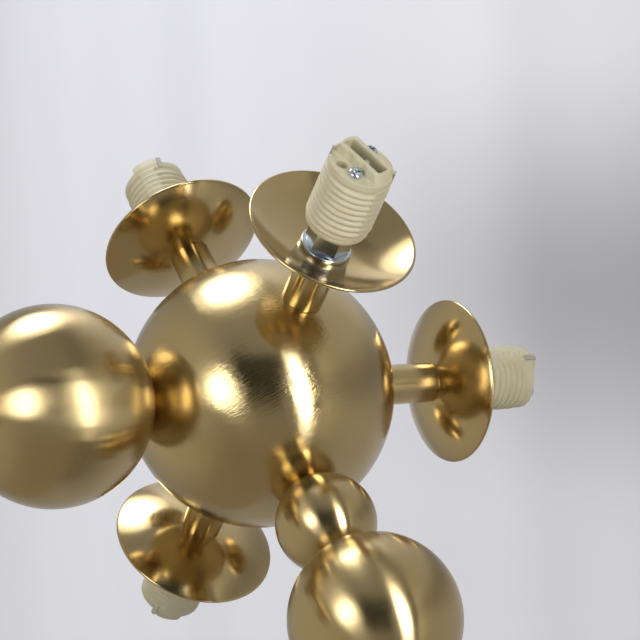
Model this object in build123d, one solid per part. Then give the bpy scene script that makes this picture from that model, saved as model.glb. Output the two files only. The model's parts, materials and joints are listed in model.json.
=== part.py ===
from build123d import *
import os
from math import atan2, degrees, sqrt

# A small brass pendant with a large polished hub ball. Four short arms carry a saucer and
# a ceramic lampholder each, a stack of two balls stands out to one side, and a second stack
# climbs to the stem, a swivel and the ceiling canopy.
# Millimetres. +Z is up, and z = 0 is the ceiling, at the middle of the ceiling plate.

# ---------------------------------------------------------------- brass balls
HUB_D = 95.0
HUB_WALL = 2.0
SMALL_BALL_D = 35.0
LARGE_BALL_D = 70.0
END_BALL_D = 59.0
BALL_WALL = 2.0
BALL_SEAT_D = 18.0          # flat turned on each ball where the next one sits
END_BUSH_D = 16.0
END_BUSH_LENGTH = 12.0

# ---------------------------------------------------------------- tubes and hollow threaded rod
TUBE_D = 14.5
TUBE_WALL = 1.0
ARM_TUBE_LENGTH = 23.0
STEM_LENGTH = 150.0
ROD_D = 10.0
ROD_BORE_D = 7.0
THREAD_GAP = 0.1            # radial play of a plain tapped hole round the rod
ROD_CLEARANCE = 0.2         # radial play of a drilled hole round the rod
THREAD_GRIP = 10.0          # length of rod inside a boss of the hub core or the end bush

# ---------------------------------------------------------------- six-way core in the hub
CORE_BALL_D = 36.0
CORE_CAVITY_D = 29.0
CORE_BOSS_D = 16.0
CORE_REACH = 28.0           # hub centre to the end of a boss
CORE_WINDOW_D = 13.0
SPLICE_SIZE = 9.0

# ---------------------------------------------------------------- saucer, washer and nut
DISH_D = 60.0
DISH_DEPTH = 9.0
DISH_THICK = 1.2
DISH_EDGE_ROUND = 0.4
WASHER_D = 18.0
WASHER_THICK = 1.5
WASHER_ROUND = 0.35
NUT_FLATS = 14.0
NUT_HEIGHT = 7.6
NUT_CHAMFER = 0.9
NUT_TURN = 30.0             # degrees, so that a flat faces along the lamp's slot

# ---------------------------------------------------------------- two-pin ceramic lampholder
HOLDER_GAP = 0.6            # nut to the ceramic's foot
HOLDER_LENGTH = 32.0
HOLDER_CREST_D = 23.5
HOLDER_ROOT_D = 21.9
HOLDER_BAND_D = 22.8
FOOT_D = 19.6
FOOT_HEIGHT = 1.6
THREAD_START = 3.4
THREAD_PITCH = 2.4
THREAD_TURNS = 9
THREAD_FLANK = 0.75
THREAD_CREST = 0.5
BAND_RISE = 0.4
STRIP_WIDTH = 7.2           # smooth strips that interrupt the thread at the slot's ends
STRIP_REACH = 11.35
BAR_HEIGHT = 4.0            # raised bar that holds the slot
BAR_WIDTH = 8.8
BAR_TOP_D = 19.0
SLOT_LENGTH = 16.8
SLOT_WIDTH = 5.0
SLOT_DEPTH = 12.0
SLOT_RIB_WIDTH = 1.6
SLOT_RIB_HEIGHT = 0.8
PIN_SPACING = 9.0
SCREW_ALONG = 3.0
SCREW_ACROSS = 6.9
POCKET_ALONG = -3.2
POCKET_ACROSS = -6.9
POCKET_D = 4.0
POCKET_DEPTH = 3.0
RELIEF_D = 6.0              # round reliefs in the bar's sides, over each screw and pocket
BRIDGE_THICK = 2.0
BRIDGE_LENGTH = 19.6
BRIDGE_WIDTH = 13.0
BRIDGE_CLEARANCE = 0.3
WIRE_CAVITY_LENGTH = 12.0
WIRE_CAVITY_WIDTH = 5.0
WIRE_CAVITY_HEIGHT = 5.6
CONTACT_HEIGHT = 8.0
CONTACT_WIDTH = 2.4
CONTACT_THICK = 0.4
CONTACT_GAP = 1.3
SPRING_WIDTH = 2.0
SPRING_THICK = 0.5
SPRING_TURN = 32.0          # degrees from the slot's direction
SPRING_RISE = 2.6           # height above the ledge
SPRING_CLEARANCE = 0.1
SCREW_SHANK_D = 3.0
SCREW_HEAD_D = 5.0
SCREW_HEAD_HEIGHT = 2.0
SCREW_HEAD_ROUND = 1.0
SCREW_CROSS_WIDTH = 0.9
SCREW_CROSS_LENGTH = 2.8
SCREW_CROSS_DEPTH = 1.1
SCREW_GAP = 0.15

# ---------------------------------------------------------------- leads
LEAD_D = 1.8
LEAD_OFFSET = 2.2
LEAD_CHANNEL_D = 2.4
LEAD_BEND = 3.0
CABLE_D = 5.5

# ---------------------------------------------------------------- swivel
SWIVEL_BALL_D = 20.0
SWIVEL_GAP = 0.3
SWIVEL_TAP_DEPTH = 7.5      # tapped hole for the stem rod, up from the ball's foot
CUP_D = 26.0
CUP_TOP = 15.7              # pivot to the cup's top face
CUP_SPLIT = 2.5             # pivot down to the joint of cup and ring
RING_BOTTOM = 10.5
RING_MOUTH_D = 17.0
RING_FLARE_D = 21.5
STEM_NUT_DROP = 16.0        # pivot down to the stem nut
STEM_NUT_D = 18.0
STEM_NUT_HEIGHT = 8.0
STEM_NUT_ROUND = 1.2

# ---------------------------------------------------------------- canopy and ceiling plate
CANOPY_D = 120.0
CANOPY_DEPTH = 30.0
CANOPY_SKIRT = 8.0
CANOPY_THICK = 1.2
CANOPY_FLAT_D = 26.0
RING_NUT_D = 22.0
RING_NUT_HEIGHT = 5.0
RING_NUT_ROUND = 0.8
PLATE_CLEARANCE = 4.8       # plate's end to the canopy's inside
PLATE_WIDTH = 20.0
PLATE_THICK = 2.5
PLATE_DROP = 7.5            # how far the middle stands below the ceiling
PLATE_SLOPE = 6.0
PLATE_END = 9.5             # plate's end to the middle of its slot
SLOT_TO_SLOPE = 1.5
FIXING_SLOT_LENGTH = 14.0
FIXING_SLOT_WIDTH = 5.0
NIPPLE_ABOVE_NUT = 0.6
LOCKNUT_HEIGHT = 4.0
NIPPLE_GRIP = 4.6           # nipple inside the swivel cup
WINDOW_WIDTH = 6.4
WINDOW_HEIGHT = 8.0
BLOCK_LENGTH = 14.0
BLOCK_WIDTH = 20.0
BLOCK_HEIGHT = 9.0
BLOCK_SCREW_D = 3.4
BLOCK_SCREW_PITCH = 6.0
BLOCK_SCREW_RECESS = 1.2
BLOCK_LEAD_GRIP = 3.0       # lead inside the terminal block
CANOPY_LEAD_BEND = 3.0
CANOPY_LEAD_OUT = 6.0       # straight run of the leads out of the nipple
EARTH_SCREW_D = 4.0
EARTH_HEAD_D = 7.6
EARTH_HEAD_HEIGHT = 2.4
EARTH_HEAD_ROUND = 0.8
EARTH_TAIL = 4.0

# ---------------------------------------------------------------- worked out from the above
TUBE_R = TUBE_D / 2
SEAT_R = BALL_SEAT_D / 2
TAPPED_R = ROD_D / 2 + THREAD_GAP
DRILLED_R = ROD_D / 2 + ROD_CLEARANCE
UP = (Align.CENTER, Align.CENTER, Align.MIN)
DOWN = (Align.CENTER, Align.CENTER, Align.MAX)


def seat_height(ball_d, seat_r):
    """Ball centre to a flat of radius seat_r turned on the ball."""
    return sqrt((ball_d / 2) ** 2 - seat_r**2)


HUB_TUBE_SEAT = seat_height(HUB_D, TUBE_R)
HUB_BALL_SEAT = seat_height(HUB_D, SEAT_R)
SMALL_SEAT = seat_height(SMALL_BALL_D, SEAT_R)
SMALL_TUBE_SEAT = seat_height(SMALL_BALL_D, TUBE_R)
LARGE_SEAT = seat_height(LARGE_BALL_D, SEAT_R)
END_SEAT = seat_height(END_BALL_D, SEAT_R)

# The plate fits inside the canopy, and its slots, slopes and block follow its length.
PLATE_LENGTH = CANOPY_D - 2 * (CANOPY_THICK + PLATE_CLEARANCE)
FIXING_SPACING = PLATE_LENGTH - 2 * PLATE_END
PLATE_MIDDLE = FIXING_SPACING - FIXING_SLOT_LENGTH - 2 * (SLOT_TO_SLOPE + PLATE_SLOPE)
BLOCK_X = (PLATE_MIDDLE - BLOCK_LENGTH) / 2

CUP_TOP_Z = -(CANOPY_DEPTH + RING_NUT_HEIGHT + SWIVEL_GAP)
PIVOT_Z = CUP_TOP_Z - CUP_TOP
STEM_TOP_Z = PIVOT_Z - STEM_NUT_DROP - STEM_NUT_HEIGHT
STEM_FOOT_Z = STEM_TOP_Z - STEM_LENGTH
STEM_BALL_Z = STEM_FOOT_Z - SMALL_TUBE_SEAT
LARGE_BALL_Z = STEM_BALL_Z - SMALL_SEAT - LARGE_SEAT
HUB_Z = LARGE_BALL_Z - LARGE_SEAT - HUB_BALL_SEAT

# Distances out from the hub's centre along an arm.
ROD_START = CORE_REACH - THREAD_GRIP
DISH_BACK = HUB_TUBE_SEAT + ARM_TUBE_LENGTH


def spun_cap_centre(rim_d, flat_r, depth):
    """Height of a dished sphere's centre above its flat bottom."""
    spread = (rim_d / 2) ** 2 - flat_r**2
    return (spread / depth + depth) / 2


DISH_CENTRE = spun_cap_centre(DISH_D, TUBE_R, DISH_DEPTH)
DISH_CAP_R = sqrt(DISH_CENTRE**2 + TUBE_R**2)
LAND_R = WASHER_D / 2 + DISH_EDGE_ROUND
DISH_LAND = DISH_CENTRE - sqrt((DISH_CAP_R - DISH_THICK) ** 2 - LAND_R**2)
WASHER_BACK = DISH_BACK + DISH_LAND
NUT_BACK = WASHER_BACK + WASHER_THICK
HOLDER_FOOT = NUT_BACK + NUT_HEIGHT + HOLDER_GAP
ROD_END = HOLDER_FOOT + BRIDGE_CLEARANCE + BRIDGE_THICK

# Heights inside the ceramic, from its foot.
LEDGE_Z = HOLDER_LENGTH - BAR_HEIGHT
SLOT_FLOOR_Z = HOLDER_LENGTH - SLOT_DEPTH
RECESS_DEPTH = BRIDGE_THICK + 2 * BRIDGE_CLEARANCE
SCREW_TURN = degrees(atan2(-SCREW_ACROSS, SCREW_ALONG))


def tube(outer_r, inner_r, length, align=UP):
    """A straight round tube from z = 0."""
    return Cylinder(outer_r, length, align=align) - Cylinder(inner_r, length, align=align)


def hex_nut(flats, height, bore_r):
    """A hexagon nut with its corners chamfered on both faces, standing on z = 0."""
    body = extrude(RegularPolygon(flats / 2, 6, major_radius=False), height)
    corner_r = flats / sqrt(3)
    round_off = chamfer(Cylinder(corner_r, height, align=UP).edges().filter_by(GeomType.CIRCLE), NUT_CHAMFER)
    return (body & round_off) - Cylinder(bore_r, height, align=UP)


def ball(ball_d, lower_seat_r, upper_seat_r, wall=0.0):
    """A ball with a flat seat and a rod hole at each end of its Z axis."""
    solid = Sphere(ball_d / 2)
    if wall:
        solid -= Sphere(ball_d / 2 - wall)
    for seat_r, side in ((lower_seat_r, DOWN), (upper_seat_r, UP)):
        height = seat_height(ball_d, seat_r)
        offset = height if side == UP else -height
        solid -= Pos(0, 0, offset) * Cylinder(seat_r + ROD_CLEARANCE, ball_d / 2, align=side)
    return solid - Cylinder(DRILLED_R, ball_d)


def hub_frame(direction):
    """A frame at the hub's centre with its Z axis along one of the six branches."""
    return Pos(0, 0, HUB_Z) * Plane(origin=(0, 0, 0), z_dir=direction).location


BRANCHES = {
    "down": (0, 0, -1),
    "up": (0, 0, 1),
    "front": (0, -1, 0),
    "back": (0, 1, 0),
    "left": (-1, 0, 0),
    "side": (1, 0, 0),
}
BALL_BRANCHES = ("up", "side")

# Each arm: its slot's reference direction and the turn of the lampholder about the arm.
ARMS = {
    "back": ((1, 0, 0), 22.0),
    "front": ((1, 0, 0), 22.0),
    "left": ((0, 1, 0), -38.3),
    "down": ((1, 0, 0), 63.7),
}


def arm_frame(name):
    """A frame on one arm: Z outwards from the hub's centre, X along the lamp slot."""
    reference, turn = ARMS[name]
    plane = Plane(origin=(0, 0, HUB_Z), x_dir=reference, z_dir=BRANCHES[name])
    return plane.location * Rot(0, 0, turn)


def hub_shell():
    """The hollow hub ball, with a flat seat and a rod hole at each of its six branches."""
    shell = Pos(0, 0, HUB_Z) * (Sphere(HUB_D / 2) - Sphere(HUB_D / 2 - HUB_WALL))
    for name, direction in BRANCHES.items():
        seat_r = SEAT_R if name in BALL_BRANCHES else TUBE_R
        seat = Pos(0, 0, seat_height(HUB_D, seat_r)) * Cylinder(seat_r + ROD_CLEARANCE, HUB_D / 2, align=UP)
        shell -= hub_frame(direction) * seat
        shell -= hub_frame(direction) * Cylinder(DRILLED_R, HUB_D, align=UP)
    return shell


def hub_core():
    """The cast six-way core: a hollow ball with a tapped boss on every branch."""
    core = Sphere(CORE_BALL_D / 2)
    for direction in BRANCHES.values():
        way = Plane(origin=(0, 0, 0), z_dir=direction).location
        core += way * Cylinder(CORE_BOSS_D / 2, CORE_REACH, align=UP)
    core -= Sphere(CORE_CAVITY_D / 2)
    for direction in BRANCHES.values():
        way = Plane(origin=(0, 0, 0), z_dir=direction).location
        core -= way * Cylinder(TAPPED_R, CORE_REACH, align=UP)
    for side_x in (-1, 1):
        for side_y in (-1, 1):
            window = Plane(origin=(0, 0, 0), z_dir=(side_x, side_y, 1)).location
            core -= window * Cylinder(CORE_WINDOW_D / 2, HUB_D)
    return Pos(0, 0, HUB_Z) * core


def arm_tube():
    """The short brass tube between the hub and the saucer."""
    return Pos(0, 0, HUB_TUBE_SEAT) * tube(TUBE_R, TUBE_R - TUBE_WALL, ARM_TUBE_LENGTH)


def arm_rod():
    """The hollow threaded rod that clamps tube, saucer and lampholder to the core."""
    return Pos(0, 0, ROD_START) * tube(ROD_D / 2, ROD_BORE_D / 2, ROD_END - ROD_START)


def spun_cap(rim_d, flat_r, land_r, depth, thick, edge_round):
    """A spun cap, flat on z = 0 and open upwards, with a flat land inside its middle."""
    centre = spun_cap_centre(rim_d, flat_r, depth)
    outer_r = sqrt(centre**2 + flat_r**2)
    inner_r = outer_r - thick
    rim = Vector(rim_d / 2, depth)
    middle = Vector(0, centre)
    to_rim = (rim - middle).normalized()
    outer_mid = middle + (to_rim + (Vector(flat_r, 0) - middle).normalized()).normalized() * outer_r
    inner_rim = middle + to_rim * inner_r
    land = Vector(land_r, centre - sqrt(inner_r**2 - land_r**2))
    inner_mid = middle + (to_rim + (land - middle).normalized()).normalized() * inner_r
    outline = Line((0, 0), (flat_r, 0)) + ThreePointArc((flat_r, 0), outer_mid, rim)
    outline += Line(rim, inner_rim) + ThreePointArc(inner_rim, inner_mid, land)
    outline += Line(land, (0, land.Y)) + Line((0, land.Y), (0, 0))
    section = make_face(outline)
    edge = section.vertices().sort_by_distance((rim + inner_rim) / 2)[:2]
    if edge_round:
        section = fillet(edge, edge_round)
    return revolve(Plane.XZ * section, Axis.Z)


def dish():
    """A saucer with a rolled edge, and a flat land inside for the washer."""
    saucer = spun_cap(DISH_D, TUBE_R, LAND_R, DISH_DEPTH, DISH_THICK, DISH_EDGE_ROUND)
    saucer -= Cylinder(DRILLED_R, DISH_DEPTH, align=UP)
    return Pos(0, 0, DISH_BACK) * saucer


def washer():
    """The plated washer inside the saucer."""
    ring = tube(WASHER_D / 2, DRILLED_R, WASHER_THICK)
    rim = ring.edges().filter_by(GeomType.CIRCLE).group_by(SortBy.RADIUS)[-1]
    return Pos(0, 0, WASHER_BACK) * fillet(rim, WASHER_ROUND)


def nut():
    """The plated hexagon nut that holds the saucer."""
    return Pos(0, 0, NUT_BACK) * Rot(0, 0, NUT_TURN) * hex_nut(NUT_FLATS, NUT_HEIGHT, TAPPED_R)


def screw_places():
    """Where the two lampholder screws stand, measured from the slot's middle."""
    return ((SCREW_ALONG, -SCREW_ACROSS), (-SCREW_ALONG, SCREW_ACROSS))


def bridge_blank(clearance=0.0):
    """The outline of the steel bridge, as long as the line through its two screws."""
    length = BRIDGE_LENGTH + 2 * clearance
    width = BRIDGE_WIDTH + 2 * clearance
    plate = extrude(SlotOverall(length, width), BRIDGE_THICK + 2 * clearance)
    return Rot(0, 0, SCREW_TURN) * plate


def socket_bridge():
    """The steel bridge under the ceramic: tapped for the rod and for both screws."""
    plate = bridge_blank() - Cylinder(TAPPED_R, BRIDGE_THICK, align=UP)
    for along, across in screw_places():
        plate -= Pos(along, across, 0) * Cylinder(SCREW_SHANK_D / 2 + THREAD_GAP, BRIDGE_THICK, align=UP)
    return Pos(0, 0, HOLDER_FOOT + BRIDGE_CLEARANCE) * plate


def socket_profile():
    """Half section of the ceramic: foot, thread ridges, band and raised end."""
    root_r = HOLDER_ROOT_D / 2
    crest_r = HOLDER_CREST_D / 2
    foot = [(0, 0), (FOOT_D / 2, 0), (root_r, FOOT_HEIGHT)]
    ridges = []
    for turn in range(THREAD_TURNS):
        low = THREAD_START + turn * THREAD_PITCH
        crest = low + THREAD_FLANK
        ridges += [(root_r, low), (crest_r, crest), (crest_r, crest + THREAD_CREST)]
        ridges += [(root_r, crest + THREAD_CREST + THREAD_FLANK)]
    top = THREAD_START + THREAD_TURNS * THREAD_PITCH
    band_r = HOLDER_BAND_D / 2
    head = [(root_r, top), (band_r, top + BAND_RISE), (band_r, LEDGE_Z)]
    head += [(BAR_TOP_D / 2, HOLDER_LENGTH), (0, HOLDER_LENGTH)]
    return make_face(Polyline(*(foot + ridges + head), close=True))


def socket_ceramic():
    """The cream ceramic lampholder with its outside thread, slot, ledges and recesses."""
    section = Plane.XZ * socket_profile()
    body = revolve(section, Axis.Z)
    thread_length = THREAD_TURNS * THREAD_PITCH
    strip = Box(2 * STRIP_REACH, STRIP_WIDTH, thread_length, align=UP)
    strip &= Cylinder(HOLDER_CREST_D / 2, thread_length, align=UP)
    body += Pos(0, 0, THREAD_START) * strip
    ledge = Box(HOLDER_CREST_D, HOLDER_CREST_D, BAR_HEIGHT, align=(Align.CENTER, Align.MIN, Align.MIN))
    body -= Pos(0, BAR_WIDTH / 2, LEDGE_Z) * ledge
    body -= Pos(0, -BAR_WIDTH / 2, LEDGE_Z) * Rot(0, 0, 180) * ledge
    body -= Pos(POCKET_ALONG, POCKET_ACROSS, LEDGE_Z) * Cylinder(POCKET_D / 2, POCKET_DEPTH, align=DOWN)
    for along, across in (*screw_places(), (POCKET_ALONG, POCKET_ACROSS)):
        body -= Pos(along, across, LEDGE_Z) * Cylinder(RELIEF_D / 2, BAR_HEIGHT, align=UP)
    slot = Box(SLOT_LENGTH, SLOT_WIDTH, SLOT_DEPTH, align=UP)
    rib = Box(SLOT_RIB_WIDTH, SLOT_RIB_HEIGHT, SLOT_DEPTH, align=UP)
    rib_y = (SLOT_WIDTH - SLOT_RIB_HEIGHT) / 2
    slot -= Pos(0, rib_y, 0) * rib
    slot -= Pos(0, -rib_y, 0) * rib
    body -= Pos(0, 0, SLOT_FLOOR_Z) * slot
    for side in (-1, 1):
        channel = Cylinder(LEAD_CHANNEL_D / 2, SLOT_FLOOR_Z, align=UP)
        body -= Pos(side * PIN_SPACING / 2, 0, 0) * channel
    body -= bridge_blank(BRIDGE_CLEARANCE)
    cavity = Box(WIRE_CAVITY_LENGTH, WIRE_CAVITY_WIDTH, WIRE_CAVITY_HEIGHT, align=UP)
    body -= Pos(0, 0, RECESS_DEPTH) * cavity
    for along, across in screw_places():
        body -= Pos(along, across, 0) * Cylinder(SCREW_SHANK_D / 2 + SCREW_GAP, HOLDER_LENGTH, align=UP)
    for spring in spring_pair(SPRING_CLEARANCE):
        body -= spring
    return Pos(0, 0, HOLDER_FOOT) * body


def spring_pair(clearance=0.0):
    """The two flat spring tongues that stand in grooves at the rim of the ceramic."""
    top = THREAD_START + THREAD_TURNS * THREAD_PITCH + BAND_RISE
    height = LEDGE_Z + SPRING_RISE - top
    tongue = Box(SPRING_THICK + 2 * clearance, SPRING_WIDTH + 2 * clearance, height, align=UP)
    reach = (HOLDER_BAND_D - SPRING_THICK) / 2 - clearance
    springs = []
    for turn in (SPRING_TURN, SPRING_TURN + 180):
        springs.append(Rot(0, 0, turn) * Pos(reach, 0, top) * tongue)
    return springs


def socket_springs():
    """Both spring tongues of one lampholder, in place on the arm."""
    return [Pos(0, 0, HOLDER_FOOT) * spring for spring in spring_pair()]


def socket_contacts():
    """A pair of folded spring contacts standing on the slot's floor."""
    blade = Box(CONTACT_WIDTH, CONTACT_THICK, CONTACT_HEIGHT, align=UP)
    base = Box(CONTACT_WIDTH, CONTACT_GAP + 2 * CONTACT_THICK, CONTACT_THICK, align=UP)
    blade_y = (CONTACT_GAP + CONTACT_THICK) / 2
    contact = base + Pos(0, blade_y, 0) * blade + Pos(0, -blade_y, 0) * blade
    height = HOLDER_FOOT + SLOT_FLOOR_Z
    return [Pos(side * PIN_SPACING / 2, 0, height) * contact for side in (-1, 1)]


def socket_screws():
    """Two cross-head screws that draw the ceramic down on its bridge."""
    reach = LEDGE_Z - BRIDGE_CLEARANCE
    head = Cylinder(SCREW_HEAD_D / 2, SCREW_HEAD_HEIGHT, align=UP)
    head = fillet(head.edges().group_by(Axis.Z)[-1], SCREW_HEAD_ROUND)
    slot = Box(SCREW_CROSS_LENGTH, SCREW_CROSS_WIDTH, SCREW_CROSS_DEPTH, align=DOWN)
    cross = slot + Rot(0, 0, 90) * slot
    screw = head - Pos(0, 0, SCREW_HEAD_HEIGHT) * cross
    screw += Cylinder(SCREW_SHANK_D / 2, reach, align=DOWN)
    place = HOLDER_FOOT + LEDGE_Z
    return [Pos(along, across, place) * screw for along, across in screw_places()]


def round_lead(points, diameter, bend):
    """A round lead along straight runs joined by equal arcs."""
    path = FilletPolyline(*points, radius=bend)
    start = Plane(origin=path @ 0, z_dir=path % 0)
    return sweep(start * Circle(diameter / 2), path=path)


def socket_leads():
    """The two insulated leads from the splice to the contacts."""
    foot = HOLDER_FOOT + RECESS_DEPTH
    floor = HOLDER_FOOT + SLOT_FLOOR_Z
    leads = []
    for side in (-1, 1):
        near = side * LEAD_OFFSET
        far = side * PIN_SPACING / 2
        points = [(near, 0, SPLICE_SIZE / 2), (near, 0, foot), (far, 0, foot + WIRE_CAVITY_HEIGHT), (far, 0, floor)]
        leads.append(round_lead(points, LEAD_D, LEAD_BEND))
    return leads


def stem_rod():
    """The long hollow rod through both stem balls, from the core to the swivel ball."""
    top = PIVOT_Z - SWIVEL_BALL_D / 2 + SWIVEL_TAP_DEPTH
    bottom = HUB_Z + ROD_START
    return Pos(0, 0, bottom) * tube(ROD_D / 2, ROD_BORE_D / 2, top - bottom)


def side_rod():
    """The hollow rod that holds the side balls to the core."""
    end = HUB_BALL_SEAT + 2 * SMALL_SEAT + THREAD_GRIP
    rod = Pos(0, 0, ROD_START) * tube(ROD_D / 2, ROD_BORE_D / 2, end - ROD_START)
    return hub_frame(BRANCHES["side"]) * rod


def side_small_ball():
    """The small ball between the hub and the end ball."""
    placed = Pos(0, 0, HUB_BALL_SEAT + SMALL_SEAT) * ball(SMALL_BALL_D, SEAT_R, SEAT_R)
    return hub_frame(BRANCHES["side"]) * placed


def end_ball():
    """The hollow ball at the end of the side stack, closed at its far side."""
    shell = Sphere(END_BALL_D / 2) - Sphere(END_BALL_D / 2 - BALL_WALL)
    shell -= Pos(0, 0, -END_SEAT) * Cylinder(SEAT_R + ROD_CLEARANCE, END_BALL_D / 2, align=DOWN)
    shell -= Cylinder(END_BUSH_D / 2, END_BALL_D, align=DOWN)
    centre = HUB_BALL_SEAT + 2 * SMALL_SEAT + END_SEAT
    return hub_frame(BRANCHES["side"]) * Pos(0, 0, centre) * shell


def end_bush():
    """The tapped bush brazed into the end ball."""
    bush = tube(END_BUSH_D / 2, TAPPED_R, END_BUSH_LENGTH)
    return hub_frame(BRANCHES["side"]) * Pos(0, 0, HUB_BALL_SEAT + 2 * SMALL_SEAT) * bush


def swivel_ball():
    """The ball that the stem hangs from, tapped below and bored through for the cable."""
    sphere = Sphere(SWIVEL_BALL_D / 2) - Cylinder(ROD_BORE_D / 2, SWIVEL_BALL_D)
    sphere -= Pos(0, 0, -SWIVEL_BALL_D / 2) * Cylinder(TAPPED_R, SWIVEL_TAP_DEPTH, align=UP)
    return Pos(0, 0, PIVOT_Z) * sphere


def swivel_cup():
    """The upper half of the swivel, screwed on the canopy's nipple."""
    cavity_r = SWIVEL_BALL_D / 2 + SWIVEL_GAP
    cup = Pos(0, 0, -CUP_SPLIT) * Cylinder(CUP_D / 2, CUP_TOP + CUP_SPLIT, align=UP)
    rim = cup.edges().filter_by(GeomType.CIRCLE).group_by(Axis.Z)[-1]
    cup = fillet(rim, STEM_NUT_ROUND)
    cup -= Sphere(cavity_r) + Cylinder(cavity_r, CUP_D, align=DOWN)
    cup -= Cylinder(TAPPED_R, CUP_TOP, align=UP)
    return Pos(0, 0, PIVOT_Z) * cup


def swivel_ring():
    """The lower half of the swivel, which keeps the ball in the cup."""
    cavity_r = SWIVEL_BALL_D / 2 + SWIVEL_GAP
    ring = Pos(0, 0, -RING_BOTTOM) * Cylinder(CUP_D / 2, RING_BOTTOM - CUP_SPLIT, align=UP)
    rim = ring.edges().filter_by(GeomType.CIRCLE).group_by(Axis.Z)[0]
    ring = fillet(rim, STEM_NUT_ROUND)
    ring -= Sphere(cavity_r)
    lip = sqrt(cavity_r**2 - (RING_MOUTH_D / 2) ** 2)
    mouth = Cone(RING_FLARE_D / 2, RING_MOUTH_D / 2, RING_BOTTOM - lip, align=UP)
    ring -= Pos(0, 0, -RING_BOTTOM) * mouth
    return Pos(0, 0, PIVOT_Z) * ring


def stem_nut():
    """The round nut that closes the stem's top."""
    top = PIVOT_Z - STEM_NUT_DROP
    collar = Cylinder(STEM_NUT_D / 2, STEM_NUT_HEIGHT, align=DOWN)
    collar = fillet(collar.edges().group_by(Axis.Z)[-1], STEM_NUT_ROUND)
    return Pos(0, 0, top) * (collar - Cylinder(TAPPED_R, STEM_NUT_HEIGHT, align=DOWN))


def stem_cable():
    """The supply cable from the splice, up the stem, to the top of the swivel ball."""
    bottom = HUB_Z + SPLICE_SIZE / 2
    top = PIVOT_Z + SWIVEL_BALL_D / 2 - 2 * SWIVEL_GAP
    return Pos(0, 0, bottom) * Cylinder(CABLE_D / 2, top - bottom, align=UP)


def canopy():
    """The spun ceiling cover: a shallow cap with a straight skirt up to the ceiling."""
    depth = CANOPY_DEPTH - CANOPY_SKIRT
    flat_r = CANOPY_FLAT_D / 2
    cap = spun_cap(CANOPY_D, flat_r, flat_r, depth, CANOPY_THICK, 0)
    skirt = Pos(0, 0, depth) * tube(CANOPY_D / 2, CANOPY_D / 2 - CANOPY_THICK, CANOPY_SKIRT)
    cover = cap + skirt - Cylinder(DRILLED_R, CANOPY_DEPTH, align=UP)
    return Pos(0, 0, -CANOPY_DEPTH) * cover


def canopy_ring_nut():
    """The round nut that holds the canopy up."""
    collar = Cylinder(RING_NUT_D / 2, RING_NUT_HEIGHT, align=DOWN)
    collar = fillet(collar.edges().group_by(Axis.Z)[0], RING_NUT_ROUND)
    return Pos(0, 0, -CANOPY_DEPTH) * (collar - Cylinder(TAPPED_R, RING_NUT_HEIGHT, align=DOWN))


def ceiling_plate():
    """The steel strap screwed to the ceiling, joggled down in its middle."""
    half = PLATE_LENGTH / 2
    inner = PLATE_MIDDLE / 2
    outer = inner + PLATE_SLOPE
    low = -PLATE_DROP
    top = [(-half, 0), (-outer, 0), (-inner, low), (inner, low), (outer, 0), (half, 0)]
    bottom = [(x, z - PLATE_THICK) for x, z in reversed(top)]
    side = Plane.XZ * make_face(Polyline(*(top + bottom), close=True))
    strap = extrude(side, PLATE_WIDTH / 2, both=True)
    strap -= Cylinder(DRILLED_R, CANOPY_DEPTH, align=DOWN)
    for side_x in (-1, 1):
        slot = extrude(SlotOverall(FIXING_SLOT_LENGTH, FIXING_SLOT_WIDTH), PLATE_THICK)
        strap -= Pos(side_x * FIXING_SPACING / 2, 0, -PLATE_THICK) * slot
    strap -= Pos(earth_x(), 0, 0) * Cylinder(EARTH_SCREW_D / 2 + THREAD_GAP, CANOPY_DEPTH, align=DOWN)
    return strap


def earth_x():
    """The earth screw stands on the middle of the plate, near its end."""
    return -(PLATE_MIDDLE - EARTH_HEAD_D) / 2


def ceiling_nipple():
    """The short hollow nipple from the plate to the swivel, with a window for the leads."""
    top = -PLATE_DROP + LOCKNUT_HEIGHT + NIPPLE_ABOVE_NUT
    bottom = CUP_TOP_Z - NIPPLE_GRIP
    nipple = Pos(0, 0, bottom) * tube(ROD_D / 2, ROD_BORE_D / 2, top - bottom)
    window = Box(ROD_D, WINDOW_WIDTH, WINDOW_HEIGHT, align=(Align.MIN, Align.CENTER, Align.CENTER))
    return nipple - Pos(0, 0, window_z()) * window


def window_z():
    """Height of the nipple's side window, midway between the locknut and the canopy."""
    under_nut = -(PLATE_DROP + PLATE_THICK + LOCKNUT_HEIGHT)
    return (under_nut - CANOPY_DEPTH + CANOPY_THICK) / 2


def ceiling_locknuts():
    """One hexagon nut above the plate and one below."""
    single = hex_nut(NUT_FLATS, LOCKNUT_HEIGHT, TAPPED_R)
    upper = Pos(0, 0, -PLATE_DROP) * single
    lower = Pos(0, 0, -PLATE_DROP - PLATE_THICK - LOCKNUT_HEIGHT) * single
    return [upper, lower]


def block_frame():
    """A frame on the underside of the plate's middle, where the terminal block hangs."""
    return Pos(BLOCK_X, 0, -PLATE_DROP - PLATE_THICK)


def block_screw_places():
    """The three terminal screws, in a row across the plate."""
    return [(0, index * BLOCK_SCREW_PITCH) for index in (-1, 0, 1)]


def terminal_block():
    """The three-way terminal block on the underside of the plate."""
    block = Box(BLOCK_LENGTH, BLOCK_WIDTH, BLOCK_HEIGHT, align=DOWN)
    block = chamfer(block.edges().filter_by(Axis.Z), BLOCK_SCREW_RECESS)
    for x, y in block_screw_places():
        well = Cylinder(BLOCK_SCREW_D / 2 + SCREW_GAP, BLOCK_HEIGHT / 2, align=UP)
        block -= Pos(x, y, -BLOCK_HEIGHT) * well
        block -= Pos(x, y, -BLOCK_HEIGHT / 2) * Rot(0, 90, 0) * Cylinder(LEAD_CHANNEL_D / 2, BLOCK_LENGTH)
    return block_frame() * block


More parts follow.
